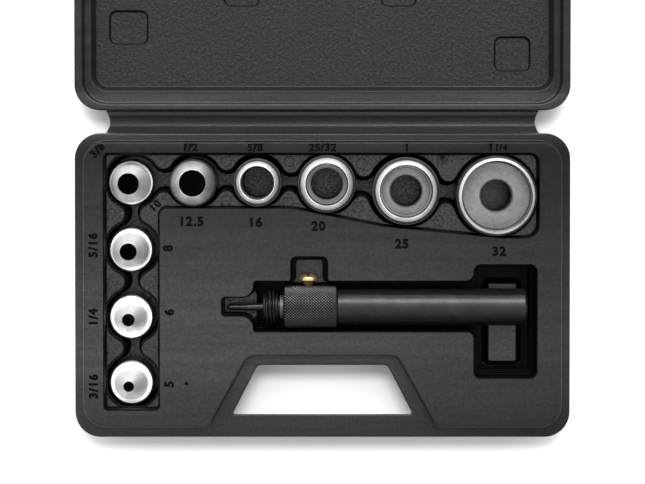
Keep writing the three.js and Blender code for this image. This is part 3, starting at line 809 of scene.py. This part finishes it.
# Rust and mottle worn into the bevel, with painted highlight wedges and painted shade lower down.
WORN_SHADED_STEEL = turned_steel(
    "worn_shaded_bevel", 0.74, 0.34, rust=1.1, mottle=0.3, metallic=0.5, glints=0.75, along_z=WORN_SHADE_BY_HEIGHT)
GREY_STEEL = turned_steel("grey_turned_steel", 0.15, 0.4, rust=0.2, mottle=0.3, glints=0.3)
FACE_STEEL = turned_steel("mottled_face", 0.17, 0.45, rust=0.5, mottle=0.4, glints=0.2)
# A dark band on the heads' outer sides: partly rust stain, partly painted shade where the side reflects the
# dark pocket.
STAINED_SHADED_STEEL = turned_steel("stained_shaded_steel", 0.08, 0.4, rust=1.2, mottle=0.6, glints=0.5)
BRASS = brass_metal("aged_brass")
SPRING_STEEL = turned_steel("spring_wire", 0.45, 0.3)


# ------------------------------------------------------------------ the base half


def rim_and_handle(skin, place):
    """The flange round one half and the rounded edge of its handle opening.

    Returns the inner edge of the flange and the opening, both as they meet the flange's top.
    """
    case = Outline(place(CASE_OUTLINE), 12)
    edge = [(0.0, FLANGE_EDGE), (0.0, FLANGE_TOP - 0.7), (0.12, FLANGE_TOP - 0.35),
            (0.35, FLANGE_TOP - 0.12), (0.8, FLANGE_TOP)]
    _, flange_edge = skin.wall(case, edge)
    handle = Outline(place(handle_corners(FLANGE_TOP)), 8)
    below = Outline(place(handle_corners(FLANGE_EDGE)), 8, counts=handle.counts)
    rim = hollow(FLANGE_TOP, FLANGE_EDGE, 0.9, 0.01, 0.0)
    skin.loft([handle.ring(inset, z) for inset, z in rim[:4]] + [below.ring(0.0, FLANGE_EDGE)])
    return flange_edge, handle.points(rim[0][0])


def numbers(skin, texts, z, depth):
    """Engraves the texts in a floor at z and returns the loops to leave open in that floor."""
    loops = []
    for text, x, y, height, turn in texts:
        letters = oriented(lettering(text, x, y, height, turn))
        engrave(skin, letters, z, depth, DARK)
        loops += letters
    return loops


def base_tray():
    """The inside of the base half: flange, plateau, recess with nine wells, and the mandrel's pocket."""
    skin = Skin()
    flange_edge, opening = rim_and_handle(skin, on_base)
    plateau = Outline(PLATEAU_OUTLINE, 10)
    foot, edge = skin.wall(plateau, raised(FLANGE_TOP, PLATEAU_TOP, 0.9, 0.9, 0.1))
    skin.floor([flange_edge, opening, foot], FLANGE_TOP)

    recess = Outline(RECESS_OUTLINE, 10)
    recess_side = hollow(PLATEAU_TOP, ISLAND_TOP, 0.6, 0.5, 0.25)
    # Painted shade: the walls of the recess and of the wells take the near-black wall paint.
    recess_rim, recess_foot = skin.wall(recess, recess_side, WALL)
    fence = recess.points(0.78)
    well_profile = hollow(ISLAND_TOP, WELL_FLOOR, 1.1, 1.2, 0.35, 5)
    rings = [keep_inside(well_chain(-inset), fence) for inset, _ in well_profile]
    skin.loft([[(x, y, z) for x, y in points] for points, (_, z) in zip(rings, well_profile)], WALL)
    # Painted shade and light: discs on the well floor under the heads' bores.
    painted_spots = [(circle(x, y, PAINTED_SPOT_RADIUS), PAINTED_BORE_SPOTS[tag]) for tag, x, y, _ in WELLS if tag in PAINTED_BORE_SPOTS]
    skin.floor([rings[-1], *[spot for spot, _ in painted_spots]], WELL_FLOOR, POCKET)
    for spot, paint in painted_spots:
        skin.floor([spot], WELL_FLOOR, paint)

    marks = []
    for x, y in ISLAND_MARKS:
        marks += ring_mark(skin, x, y, ISLAND_TOP)
    marks += numbers(skin, ISLAND_NUMERALS, ISLAND_TOP, 0.8)
    skin.floor([recess_foot, rings[0], *marks], ISLAND_TOP, POCKET)

    loops = [edge, recess_rim, tool_pocket(skin)]
    loops += numbers(skin, NUMERALS, PLATEAU_TOP, 1.0)
    loops += ring_mark(skin, *PLATEAU_MARK, PLATEAU_TOP, 2.3, 0.3, 0.12)
    dot = circle(*PLATEAU_DOT, 0.8, 16)
    engrave(skin, [dot], PLATEAU_TOP, 0.6, DARK)
    skin.floor([*loops, dot], PLATEAU_TOP)
    materials = [BASE_PLASTIC, POCKET_PLASTIC, DEEP_SHADE_PLASTIC, WALL_SHADE_PLASTIC, PAINTED_LIGHT_PLASTIC]
    return skin.build("case_base_inner", materials, SKIN_THICKNESS)


def tool_pocket(skin):
    """The stepped pocket for the mandrel. Returns its rim on the plateau."""
    left, near, far = CHANNEL["left"], CHANNEL["near"], CHANNEL["far"]
    thumb = [
        (THUMB["left"], far, 3.6), (THUMB["left"], THUMB["far"], 3.0),
        (THUMB["right"], THUMB["far"], 3.0), (THUMB["right"], THUMB["near"], 3.0),
        (THUMB["left"], THUMB["near"], 3.0), (THUMB["left"], near, 4.4),
    ]
    notch = [
        (NOTCH["right"], near, 1.4), (NOTCH["right"], NOTCH["near"], 2.4),
        (NOTCH["left"], NOTCH["near"], 2.4), (NOTCH["left"], near, 1.4),
    ]
    tip = [
        (left, TIP_SLOT["near"], 5.4), (TIP_SLOT["left"], TIP_SLOT["near"], 1.4),
        (TIP_SLOT["left"], TIP_SLOT["far"], 1.4), (left, TIP_SLOT["far"], 6.0),
    ]
    narrow = []
    for x, y, radius in notch:
        across = NOTCH_NARROWING if x < 0 else -NOTCH_NARROWING
        down = NOTCH_NARROWING if y == NOTCH["near"] else 0.0
        narrow.append((x + across, y - down, radius))
    whole = Outline([(left, far, 1.0), *thumb, *notch, (left, near, 1.2), *tip], 8)
    without_tip = Outline([(left, far, 1.0), *thumb, *narrow, (left, near, 1.2)], 8)
    without_notch = Outline([(left, far, 1.0), *thumb, (left, near, 1.2)], 8)
    thumb_only = Outline(rectangle(THUMB["left"], THUMB["right"], THUMB["far"], THUMB["near"], 3.0), 6)

    rim, foot = skin.wall(whole, hollow(PLATEAU_TOP, TIP_SLOT["floor"], 0.6, 0.3, 0.5), WALL)
    # Painted light on the screw notch's floor; painted shade on the channel floor under the mandrel, on the
    # walls and, deepest, on the thumb well's floor.
    levels = [
        (without_tip, TIP_SLOT["floor"], NOTCH["floor"], 0.9, POCKET),
        (without_notch, NOTCH["floor"], CHANNEL["floor"], 1.4, LIGHT),
        (thumb_only, CHANNEL["floor"], THUMB["floor"], 1.9, WALL),
    ]
    for outline, top, bottom, inset, paint in levels:
        profile = [(a + inset, z) for a, z in hollow(top, bottom, 0.05, 0.12, 0.3)]
        start, end = skin.wall(outline, profile, WALL)
        first = len(skin.faces)
        skin.floor([foot, start], top, paint)
        if outline is without_tip:
            # Painted shade on the ledge round the notch and channel at this level; the tip slot's floor
            # keeps its own paint.
            skin.repaint(first, WALL, lambda face: sum(x for x, _, _ in face) / 3 > left)
        foot = end
    saddle = Outline(rectangle(SADDLE["left"], SADDLE["right"], SADDLE["far"], SADDLE["near"], 1.2), 6)
    # Painted light on the saddle's top and far slope, and painted shade on its other sides.
    first = len(skin.faces)
    saddle_foot, saddle_top = skin.wall(saddle, SADDLE_SIDE, WALL)
    skin.repaint(first, LIGHT, lambda face: max(y for _, y, _ in face) < SADDLE["far"] + 0.3)
    skin.floor([saddle_top], SADDLE["top"], LIGHT)
    skin.floor([foot, saddle_foot], THUMB["floor"], DARK)
    return rim


def outer_shell(name, place):
    """The outside of one half: drafted sides, rounded foot, and the handle bar with its opening."""
    skin = Skin()
    case = Outline(place(CASE_OUTLINE), 12)
    slope = SHELL_SIDE / (SHELL_TOP - SHELL_FOOT_HEIGHT)
    at_bar = SHELL_SIDE - slope * (BAR_BOTTOM - SHELL_FOOT_HEIGHT)
    skin.wall(case, [(at_bar, BAR_BOTTOM), (0.0, SHELL_TOP)])
    handle_top = Outline(place(handle_corners(SHELL_TOP)), 8)
    counts = handle_top.counts
    levels = [SHELL_TOP, 20.0, 17.0, 14.0, 11.0, BAR_BOTTOM]
    skin.loft([Outline(place(handle_corners(z)), 8, counts=counts).ring(0.0, z) for z in levels])
    handle_low = Outline(place(handle_corners(BAR_BOTTOM)), 8, counts=counts)

    rounds = [(SHELL_FOOT + 1.6, 0.0), (SHELL_FOOT, 0.25), (2.3, 0.9), (1.5, 2.0), (1.0, 3.2),
              (SHELL_SIDE, 4.4)]
    counts = Outline(place(notched_corners(rounds[0][0])), 10, reach=9.0).counts
    lower = [Outline(place(notched_corners(inset)), 10, counts=counts) for inset, _ in rounds]
    rings = [outline.ring(0.0, z) for outline, (_, z) in zip(lower, rounds)]
    top_lower = Outline(place(notched_corners(at_bar + 0.1)), 10, counts=counts)
    skin.loft([*rings, top_lower.ring(0.0, BAR_BOTTOM)])
    skin.floor([[p[:2] for p in rings[0]]], 0.0, down=True)
    skin.floor([case.points(at_bar), top_lower.points(), handle_low.points()], BAR_BOTTOM, down=True)
    return skin.build(name, [SHELL_PLASTIC], SKIN_THICKNESS)


# ------------------------------------------------------------------ the lid half


def lid_panel():
    """The inside of the lid half: flange, the band that the plateau enters, and the sunk panel."""
    skin = Skin()
    flange_edge, opening = rim_and_handle(skin, on_lid)
    band = Outline(on_lid(inset_corners(PLATEAU_OUTLINE, -0.7)), 10)
    rim_edge, band_outer = skin.wall(band, hollow(FLANGE_TOP, LID_BAND, 0.8, 0.7, 0.25))
    skin.floor([flange_edge, opening, rim_edge], FLANGE_TOP)

    inner = [(x, max(y, 14.9), radius) for x, y, radius in on_lid(inset_corners(PLATEAU_OUTLINE, 2.9))]
    panel = Outline(inner, 10)
    panel_rim, panel_foot = skin.wall(panel, hollow(LID_BAND, LID_PANEL, 0.8, 1.1, 1.1))
    skin.floor([band_outer, panel_rim], LID_BAND)

    loops = [panel_foot]
    for x, y, width, depth in TACKS:
        tack = Outline(rectangle(x - width / 2, x + width / 2, y - depth / 2, y + depth / 2, 3.3), 6)
        # Painted shade on the dimples' walls.
        tack_rim, tack_foot = skin.wall(tack, hollow(LID_PANEL, TACK_FLOOR, 0.45, 0.4, 0.2, 3), TACK)
        skin.floor([tack_foot], TACK_FLOOR, LEATHER)
        loops.append(tack_rim)
    skin.floor(loops, LID_PANEL, LEATHER)
    return skin.build("case_lid_inner", [LID_PLASTIC, LEATHER_PLASTIC, TACK_SHADE_PLASTIC], SKIN_THICKNESS)


# ------------------------------------------------------------------ the hinge


HINGE_END = 102.0
HINGE_EDGE = 5.35
HINGE_THICKNESS = 1.0
NEAR_SECTION = [  # the ridges across the strip, as (y, z)
    (-HINGE_EDGE, 20.3), (-4.9, 20.3), (-3.4, 20.35), (-2.6, 20.45), (-2.0, 20.5), (-1.3, 20.15),
    (-1.1, 19.95), (0.0, 19.95),
]
FAR_SECTION = [
    (0.0, 19.95), (1.4, 20.15), (2.0, 20.4), (2.6, 20.75), (3.2, 21.0), (3.9, 21.1), (4.6, 21.05),
    (HINGE_EDGE, 20.8),
]


def hinge_reach(y):
    """The strip's ends curve inwards between the two halves, by about 2 mm."""
    return 1.0 - 0.019 * (1.0 - (y / HINGE_EDGE) ** 2)


def hinge_half(name, section):
    """One half of the hinge strip: a ridged section across Y, drawn out along X."""
    skin = Skin()
    outline = [*section, *((y, z - HINGE_THICKNESS) for y, z in reversed(section))]
    count = 60
    xs = [-HINGE_END + 2 * HINGE_END * k / count for k in range(count + 1)]
    rings = [[(x * hinge_reach(y), y, z) for y, z in outline] for x in xs]
    skin.loft(rings[::-1])
    skin.cap(rings[0])
    skin.cap(rings[-1][::-1])
    return skin.build(name, [LID_PLASTIC], sharp=50.0)


# ------------------------------------------------------------------ the punch heads


def threaded(low, high, inner, outer, pitch, sides, rows):
    """Rings of a helical thread from low to high, between two radii. rows: rings to a pitch."""
    count = max(2, round((high - low) / pitch * rows))
    rings = []
    for j in range(count + 1):
        z = low + (high - low) * j / count
        fade = min(1.0, (z - low) / pitch, (high - z) / pitch)
        points = []
        for k in range(sides):
            share = k / sides
            wave = 1 - abs(2 * ((z / pitch - share) % 1.0) - 1)
            wave = min(1.0, max(0.0, (wave - 0.1) / 0.8))
            radius = inner + (outer - inner) * wave * fade
            angle = 2 * math.pi * share
            points.append((radius * math.cos(angle), radius * math.sin(angle), z))
        rings.append(points)
    return rings


STEEL_SLOTS = [OXIDE, CONE_STEEL, COLLAR_STEEL, RING_STEEL, WORN_SHADED_STEEL, GREY_STEEL, FACE_STEEL, STAINED_SHADED_STEEL]
# All the turned-steel paints carry painted highlight wedges; RING and WORN are also painted darker lower
# down, and BROWN is a dark band of rust stain and painted shade.
SIDE, CONE, COLLAR, RING, WORN, GREY, FACE, BROWN = range(8)
HEAD_TOP = 24.0
HEAD_SIDES = 112
SOCKET_MOUTH = 8.1
SOCKET = {"low": 0.9, "inner": 7.1, "outer": 7.95, "pitch": 2.0}

# Heads: size in its name, diameter of the cut and of the body.
HEADS = [
    ("5mm", 5, 21.8), ("6mm", 6, 21.8), ("8mm", 8, 21.8), ("10mm", 10, 21.8), ("12_5mm", 12.5, 22.2),
    ("16mm", 16, 22.6), ("20mm", 20, 27.0), ("25mm", 25, 31.8), ("32mm", 32, 37.8),
]


def small_bore(edge, straight, shoulder):
    """A narrow bore: straight for a way below the cutting edge, then slightly wider down to the socket."""
    return [(edge, HEAD_TOP - 0.1, GREY), (edge + 0.1, HEAD_TOP - straight, SIDE),
            (edge + 0.25, 11.9, SIDE), (shoulder, 9.6, SIDE)]


def cavity(edge, rim, wall_foot, *rest):
    """A wide cutting cavity. rim: paint under the edge. wall_foot: paint inwards from the wall's foot."""
    return [(edge, HEAD_TOP - 0.15, rim), (edge - 0.1, 18.6, SIDE), (edge - 0.5, 18.25, wall_foot), *rest]


def bevel(edge, outer, side_end, rounded, dull, bright):
    """A ground bevel with a bright ring. dull, bright: (inwards from the side, height) where they start."""
    return [(outer, side_end, SIDE), (outer - 0.15, rounded, GREY), (outer - dull[0], dull[1], BROWN),
            (outer - bright[0], bright[1], RING), (edge + 0.2, HEAD_TOP - 0.1, RING),
            (edge + 0.03, HEAD_TOP, RING)]


def head_section(cut, outer):
    """A head from its foot up to the cutting edge and down inside to the socket's thread."""
    edge = cut / 2
    foot = [(SOCKET_MOUTH, 0.0, SIDE), (outer - 0.6, 0.0, SIDE), (outer - 0.15, 0.15, SIDE),
            (outer, 0.6, SIDE)]
    if cut <= 10:
        cone = max(7.2, edge + 4.2)
        sides = [
            (outer, 8.6, SIDE), (outer - 0.35, 9.2, BROWN), (outer - 0.7, 9.55, SIDE),
            (outer - 1.15, 9.7, COLLAR), (cone + 0.9, 9.85, COLLAR), (cone + 0.3, 10.4, CONE),
            (cone - 0.05, 11.6, CONE), (edge + (cone - edge) * 0.42, 18.0, CONE),
            (edge + 0.16, HEAD_TOP - 0.15, CONE), (edge + 0.03, HEAD_TOP, COLLAR),
        ]
        inside = small_bore(edge, 3.0, 7.0)
    elif cut < 16:
        sides = [
            (outer, 17.4, SIDE), (outer - 0.2, 18.0, BROWN), (outer - 0.9, 18.9, WORN),
            (edge + 0.2, HEAD_TOP - 0.1, WORN), (edge + 0.03, HEAD_TOP, COLLAR),
        ]
        inside = small_bore(edge, 4.0, 7.2)
    elif cut == 16:
        sides = bevel(edge, outer, 18.4, 18.9, (0.4, 19.2), (1.4, 20.3))
        inside = [(edge - 0.05, HEAD_TOP - 0.1, GREY), (edge - 0.4, HEAD_TOP - 1.4, GREY),
                  (7.35, 17.8, SIDE)]
    elif cut == 20:
        sides = bevel(edge, outer, 17.6, 18.2, (0.45, 18.8), (1.3, 20.3))
        inside = cavity(edge, GREY, GREY, (7.9, 18.15, GREY), (7.4, 17.7, SIDE))
    elif cut == 25:
        sides = bevel(edge, outer, 18.0, 18.6, (0.5, 19.2), (1.6, 21.0))
        inside = cavity(edge, RING, GREY, (11.1, 18.2, SIDE), (10.85, 18.1, GREY), (9.3, 18.1, FACE),
                        (7.9, 18.1, GREY), (7.4, 17.6, SIDE))
    else:
        sides = [
            (outer, 19.6, SIDE), (outer - 0.2, 20.2, BROWN), (outer - 1.0, 21.6, BROWN),
            (outer - 1.2, 21.9, RING), (edge + 0.5, HEAD_TOP - 0.3, SIDE), (edge + 0.35, HEAD_TOP, SIDE),
        ]
        inside = cavity(edge, GREY, FACE, (8.0, 18.15, GREY), (7.45, 17.6, SIDE))
    return [*foot, *sides, *inside]


def punch_head(tag, cut, body):
    """A turned head with its threaded socket, built about Z from its foot."""
    node = f"punch_head_{tag}"
    low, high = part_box(node)
    section = head_section(cut, body / 2)
    skin = Skin()
    skin.turned(section, HEAD_SIDES)
    radius, shoulder, _ = section[-1]
    thread = threaded(
        SOCKET["low"], shoulder - 0.3, SOCKET["inner"], SOCKET["outer"], SOCKET["pitch"], HEAD_SIDES, 6)
    above, below = ring(radius, shoulder, HEAD_SIDES), ring(SOCKET_MOUTH, 0.0, HEAD_SIDES)
    skin.loft([above, *thread[::-1], below], SIDE)
    piece = skin.build(f"{node}_body", STEEL_SLOTS, sharp=28.0)
    piece.location = ((low.x + high.x) / 2, (low.y + high.y) / 2, low.z)
    return piece


# ------------------------------------------------------------------ the mandrel

# Lengths along the tool's axis are millimetres from TOOL, positive towards the struck end.
TOOL = (0.0, -87.1 * MM, 24.5 * MM)
BAR_RADIUS = 8.75
BAR_FRONT = -18.4
MOUTH = {"radius": 5.8, "end": -11.0}
KNURL = {"end": 7.1, "crest": 10.0, "depth": 0.5, "across": 44, "pitch": 1.43, "chamfer": 0.8, "flat": 0.82}
KNURL_SIDES = 352
# Painted shade: the knurl's grooves, below GROOVE of its depth, take the dark paint.
GROOVE = 0.5  # share of the knurl's depth below which it is painted dark
NOSE_SIDES = 128
NOSE_THREAD = {"start": -27.5, "end": -21.0, "inner": 6.95, "outer": 7.95, "pitch": 1.75}
# Painted highlight: the nose thread's crests, beyond NOSE_CREST, are lighter.
NOSE_CREST = 7.6  # radius from which the thread is painted lighter
SPRING = {"start": -1.5, "end": 22.5, "radius": 3.25, "wire": 0.45, "turns": 9}
SCREW = {"x": -6.7, "radius": 4.35, "base": 12.6, "rim": 0.7, "dome": 3.2}
SLOT = {"half_width": 0.55, "depth": 1.3, "above": 2.0, "reach": 6.0}

ALONG_X = (0.0, math.radians(90), 0.0)
ALONG_Y = (math.radians(-90), 0.0, 0.0)


def laid(piece, turn=ALONG_X):
    """A piece that was built about Z, turned about the tool's middle."""
    piece.rotation_euler = turn
    piece.location = TOOL
    return piece


def mean_radius(face):
    return sum(math.hypot(x, y) for x, y, _ in face) / len(face)


def knurled(start, end):
    """Rings of a cut diamond knurl."""
    pitch, crest, flat = KNURL["pitch"], KNURL["crest"], KNURL["flat"]
    rows = round((end - start) / pitch * 8)
    rings = []
    for j in range(rows + 1):
        along = start + (end - start) * j / rows
        points = []
        for k in range(KNURL_SIDES):
            share = k / KNURL_SIDES * KNURL["across"]
            first = abs(((share + along / pitch) % 1.0) * 2 - 1)
            second = abs(((share - along / pitch) % 1.0) * 2 - 1)
            rise = min(flat, 1 - max(first, second) ** 1.5)
            radius = crest - KNURL["depth"] * (1 - rise / flat)
            angle = 2 * math.pi * k / KNURL_SIDES
            points.append((radius * math.cos(angle), radius * math.sin(angle), along))
        rings.append(points)
    return rings


def rings_of(section, sides):
    return [ring(radius, along, sides) for radius, along in section]


def mandrel_body():
    """The struck bar with its diamond knurl and the bore for the nose and the pin."""
    skin = Skin()
    start, end, chamfer = BAR_FRONT, KNURL["end"], KNURL["chamfer"]
    knurl = knurled(start + chamfer, end - chamfer)
    mouth, bottom = MOUTH["radius"], MOUTH["end"]
    front = rings_of([(mouth, bottom), (mouth, start), (8.6, start), (9.2, start + 0.15),
                      (9.55, start + 0.6)], KNURL_SIDES)
    back = rings_of([(9.5, end - 0.6), (9.1, end - 0.1), (8.95, end), (BAR_RADIUS, end + 0.25),
                     (BAR_RADIUS, 40.0), (BAR_RADIUS, 94.3), (8.6, 94.7), (7.6, 95.6), (7.3, 95.8),
                     (0.05, 95.8)], KNURL_SIDES)
    plain, dark, bright = range(3)
    skin.loft(front[:2], plain)
    # Painted shade on the grip's front face and chamfer.
    skin.loft([*front[1:], knurl[0]], dark)
    first = len(skin.faces)
    skin.loft(knurl, bright)
    # Painted shade in the knurl's grooves.
    skin.repaint(first, dark, lambda face: mean_radius(face) < KNURL["crest"] - GROOVE * KNURL["depth"])
    skin.loft([knurl[-1], *back], plain)
    skin.loft(rings_of([(0.05, 25.0), (4.3, 23.0), (4.3, bottom), (mouth, bottom)], KNURL_SIDES), plain)
    return laid(skin.build("mandrel_bar", [BAR_OXIDE, DARK_OXIDE_AND_SHADE, KNURL_SHADED_OXIDE], sharp=24.0))


def nose():
    """The threaded nose with its neck and the shank in the bar's mouth."""
    skin = Skin()
    thread = threaded(*NOSE_THREAD.values(), NOSE_SIDES, 10)
    front = rings_of([(2.2, -27.8), (6.6, -27.8), (7.0, -27.6)], NOSE_SIDES)
    back = rings_of([(6.9, -20.9), (4.9, -20.8), (4.9, -20.0), (5.5, -19.9), (5.5, -18.3), (5.5, -11.3),
                     (3.2, -11.3), (3.2, -22.0), (2.2, -22.0), (2.2, -27.8)], NOSE_SIDES)
    dark, crest, neck = range(3)
    skin.loft([*front, *thread, *back[:4]], dark)
    # Painted highlight on the thread's crests.
    skin.repaint(0, crest, lambda face: mean_radius(face) > NOSE_CREST)
    skin.loft(back[3:5], neck)
    skin.loft(back[4:], dark)
    return laid(skin.build("mandrel_nose", [DARK_OXIDE_AND_SHADE, CREST_HIGHLIGHT_OXIDE, GREY_STEEL], sharp=30.0))


def lathe(name, section, material, sides):
    """A piece turned in one material. section: (radius, distance along the axis)."""
    skin = Skin()
    skin.turned([(radius, along, 0) for radius, along in section], sides)
    return skin.build(name, [material], sharp=28.0)


def pin():
    """The centre pin: tapered point, guided part, groove and collar."""
    section = [
        (0.02, -44.8), (0.5, -44.75), (0.9, -44.45), (1.25, -43.7), (1.3, -42.9), (1.9, -28.8),
        (1.9, -21.7), (2.8, -21.7), (2.8, -14.0), (1.8, -14.0), (1.8, -4.9), (3.8, -4.9), (3.8, -1.9),
        (0.02, -1.9),
    ]
    return laid(lathe("mandrel_centre_pin", section, OXIDE, 64))


def return_spring():
    """The helical spring behind the pin's collar."""
    skin = Skin()
    steps, sides = 28 * SPRING["turns"], 10
    wire, reach = SPRING["wire"], SPRING["radius"]
    run = SPRING["end"] - SPRING["start"] - 2 * wire
    rings = []
    for k in range(steps + 1):
        angle = 2 * math.pi * k * SPRING["turns"] / steps
        along = SPRING["start"] + wire + run * k / steps
        points = []
        for j in range(sides):
            turn = 2 * math.pi * j / sides
            out = reach + wire * math.cos(turn)
            points.append((out * math.cos(angle), out * math.sin(angle), along + wire * math.sin(turn)))
        rings.append(points)
    skin.loft(rings[::-1])
    skin.cap(rings[0])
    skin.cap(rings[-1][::-1])
    return laid(skin.build("return_spring", [SPRING_STEEL], sharp=50.0))


def cut_slot(piece, top):
    """Cuts a screwdriver slot in a turned piece whose head ends at top on its own axis."""
    half, reach = SLOT["half_width"] * MM, SLOT["reach"] * MM
    low, high = (top - SLOT["depth"]) * MM, (top + SLOT["above"]) * MM
    corners = [(x, y, z) for x in (-half, half) for y in (-reach, reach) for z in (low, high)]
    faces = [(0, 1, 3, 2), (4, 6, 7, 5), (0, 4, 5, 1), (2, 3, 7, 6), (0, 2, 6, 4), (1, 5, 7, 3)]
    block = bpy.data.meshes.new("slot")
    block.from_pydata(corners, [], faces)
    cutter = bpy.data.objects.new("slot", block)
    bpy.context.scene.collection.objects.link(cutter)
    bpy.context.view_layer.update()
    cutter.matrix_world = piece.matrix_world.copy()
    cut = piece.modifiers.new("slot", "BOOLEAN")
    cut.object = cutter
    cut.operation = "DIFFERENCE"
    cut.solver = "EXACT"
    piece.modifiers.move(len(piece.modifiers) - 1, 0)
    bpy.context.view_layer.update()
    graph = bpy.context.evaluated_depsgraph_get()
    made = bpy.data.meshes.new_from_object(piece.evaluated_get(graph))
    piece.modifiers.clear()
    old = piece.data
    piece.data = made
    bpy.data.meshes.remove(old)
    bpy.data.objects.remove(cutter)
    made.set_sharp_from_angle(angle=math.radians(28))


def screw():
    """The slotted round-head lock screw, in the grip's side towards +Y."""
    radius, base, rim, dome = SCREW["radius"], SCREW["base"], SCREW["rim"], SCREW["dome"]
    section = [(0.02, 2.3), (1.6, 2.3), (1.6, 10.9), (2.3, 10.9), (2.3, base), (radius - 0.25, base),
               (radius, base + 0.2)]
    for k in range(13):
        angle = math.pi / 2 * k / 12.5
        section.append((max(0.02, radius * math.cos(angle)), base + rim + (dome - rim) * math.sin(angle)))
    piece = laid(lathe("lock_screw", section, BRASS, 72), ALONG_Y)
    piece.location.x = SCREW["x"] * MM
    cut_slot(piece, base + dome)
    return piece


# ------------------------------------------------------------------ put together


def attach(piece, body, node):
    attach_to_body(piece, body)
    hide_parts(node)
    return piece


attach(base_tray(), "case_base", "base_tray")
attach(outer_shell("case_base_outer", on_base), "case_base", "base_outer_shell")
attach(lid_panel(), "lid", "lid_inner_panel")
attach(outer_shell("case_lid_outer", on_lid), "lid", "lid_outer_shell")

near_half = hinge_half("hinge_near", NEAR_SECTION)
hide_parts("hinge_web")
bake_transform(near_half)
far_half = hinge_half("hinge_far", FAR_SECTION)
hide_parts("hinge_web")
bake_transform(far_half)

for tag, cut, body in HEADS:
    attach(punch_head(tag, cut, body), f"head_{tag}", f"punch_head_{tag}")

attach(mandrel_body(), "mandrel", "mandrel_body")
attach(nose(), "mandrel", "threaded_nose")
attach(pin(), "pin", "centre_pin")
attach(screw(), "screw", "brass_screw")

spring = attach(return_spring(), "mandrel", "pin_spring")
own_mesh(spring)

# ------------------------------------------------------------------ floor, light and camera


WORLD_LIGHT = 2.7
KEY_LIGHT = 14.0
TABLE_FILL = 15.0
STEEL_FILL = 15.0
STEEL_FILLS = ((90, 0.75), (215, 0.85), (325, 0.6))  # direction in degrees, share of STEEL_FILL
UPWARDS = ((0.05, 0.30), (0.4, 0.75), (0.75, 1.0))  # the sky's grey by height, and from -Y to +Y
TOWARDS_LID = ((0.05, 0.10), (0.44, 0.42), (0.56, 0.46), (0.72, 1.0))


def white_table():
    reach = 3.0
    mesh = bpy.data.meshes.new("floor")
    corners = [(-reach, -reach, 0), (reach, -reach, 0), (reach, reach, 0), (-reach, reach, 0)]
    mesh.from_pydata(corners, [], [(0, 1, 2, 3)])
    floor = bpy.data.objects.new("floor", mesh)
    floor.location.z = -0.0002
    bpy.context.scene.collection.objects.link(floor)
    paint = Shader("white_table", (0.86, 0.86, 0.86), 0.9)
    paint.bsdf.inputs["Specular IOR Level"].default_value = 0.1
    mesh.materials.append(paint.material)
    return floor


def sky():
    """A soft grey world that is lighter overhead and towards the lid."""
    world = bpy.data.worlds.new("studio")
    world.use_nodes = True
    nodes, links = world.node_tree.nodes, world.node_tree.links
    split = nodes.new("ShaderNodeSeparateXYZ")
    links.new(nodes.new("ShaderNodeTexCoord").outputs["Generated"], split.inputs[0])
    half = nodes.new("ShaderNodeMapRange")
    half.inputs["From Min"].default_value = -1.0
    links.new(split.outputs["Y"], half.inputs["Value"])
    product = nodes.new("ShaderNodeMix")
    product.data_type = "RGBA"
    product.blend_type = "MULTIPLY"
    product.inputs[0].default_value = 1.0
    graded = ((split.outputs["Z"], UPWARDS, 6), (half.outputs["Result"], TOWARDS_LID, 7))
    for value, stops, socket in graded:
        ramp = nodes.new("ShaderNodeValToRGB")
        set_stops(ramp, stops)
        links.new(value, ramp.inputs["Fac"])
        links.new(ramp.outputs["Color"], product.inputs[socket])
    links.new(product.outputs[2], nodes["Background"].inputs["Color"])
    nodes["Background"].inputs["Strength"].default_value = WORLD_LIGHT
    bpy.context.scene.world = world


def softbox(name, place, aim, size, power, receivers=None):
    """A rectangular lamp. receivers: the collection that it lights, if not everything."""
    light = bpy.data.lights.new(name, "AREA")
    light.shape = "RECTANGLE"
    light.size, light.size_y = size
    light.energy = power
    lamp = bpy.data.objects.new(name, light)
    lamp.location = place
    lamp.rotation_euler = (Vector(aim) - Vector(place)).to_track_quat("-Z", "Y").to_euler()
    bpy.context.scene.collection.objects.link(lamp)
    if receivers is not None:
        lamp.light_linking.receiver_collection = receivers


def gathered(name, objects):
    """A collection for light linking."""
    collection = bpy.data.collections.new(name)
    bpy.context.scene.collection.children.link(collection)
    for item in objects:
        collection.objects.link(item)
    return collection


def lamps(floor):
    softbox("key_softbox", (0.0, 1.10, 1.25), (0.0, -0.05, 0.0), (1.3, 0.65), KEY_LIGHT)
    table = gathered("table", [floor])
    softbox("table_fill", (0.0, 0.45, 1.5), (0.0, -0.1, 0.0), (0.5, 0.3), TABLE_FILL, table)
    steel = gathered("steel", [
        piece for piece in bpy.context.scene.objects
        if piece.type == "MESH" and piece.name.startswith("punch_head") and not piece.hide_render
    ])
    for k, (turn, share) in enumerate(STEEL_FILLS):
        angle = math.radians(turn)
        place = (0.9 * math.cos(angle), 0.9 * math.sin(angle) - 0.06, 0.75)
        softbox(f"steel_fill_{k}", place, (0.0, -0.06, 0.03), (0.9, 0.5), STEEL_FILL * share, steel)


def camera():
    """Straight above the hinge, framing the base and the near part of the lid."""
    scene = bpy.context.scene
    lens = bpy.data.cameras.new("camera")
    lens.sensor_width = 36.0
    lens.lens = 106.5
    lens.shift_y = -0.14
    lens.clip_start = 0.05
    lens.clip_end = 20.0
    viewer = bpy.data.objects.new("camera", lens)
    viewer.location = (0.0, 0.008, 0.920)
    viewer.rotation_euler = (-0.0246, 0.0, 0.0)
    scene.collection.objects.link(viewer)
    scene.camera = viewer
    scene.view_settings.view_transform = "Standard"
    scene.view_settings.look = "None"


lamps(white_table())
sky()
camera()
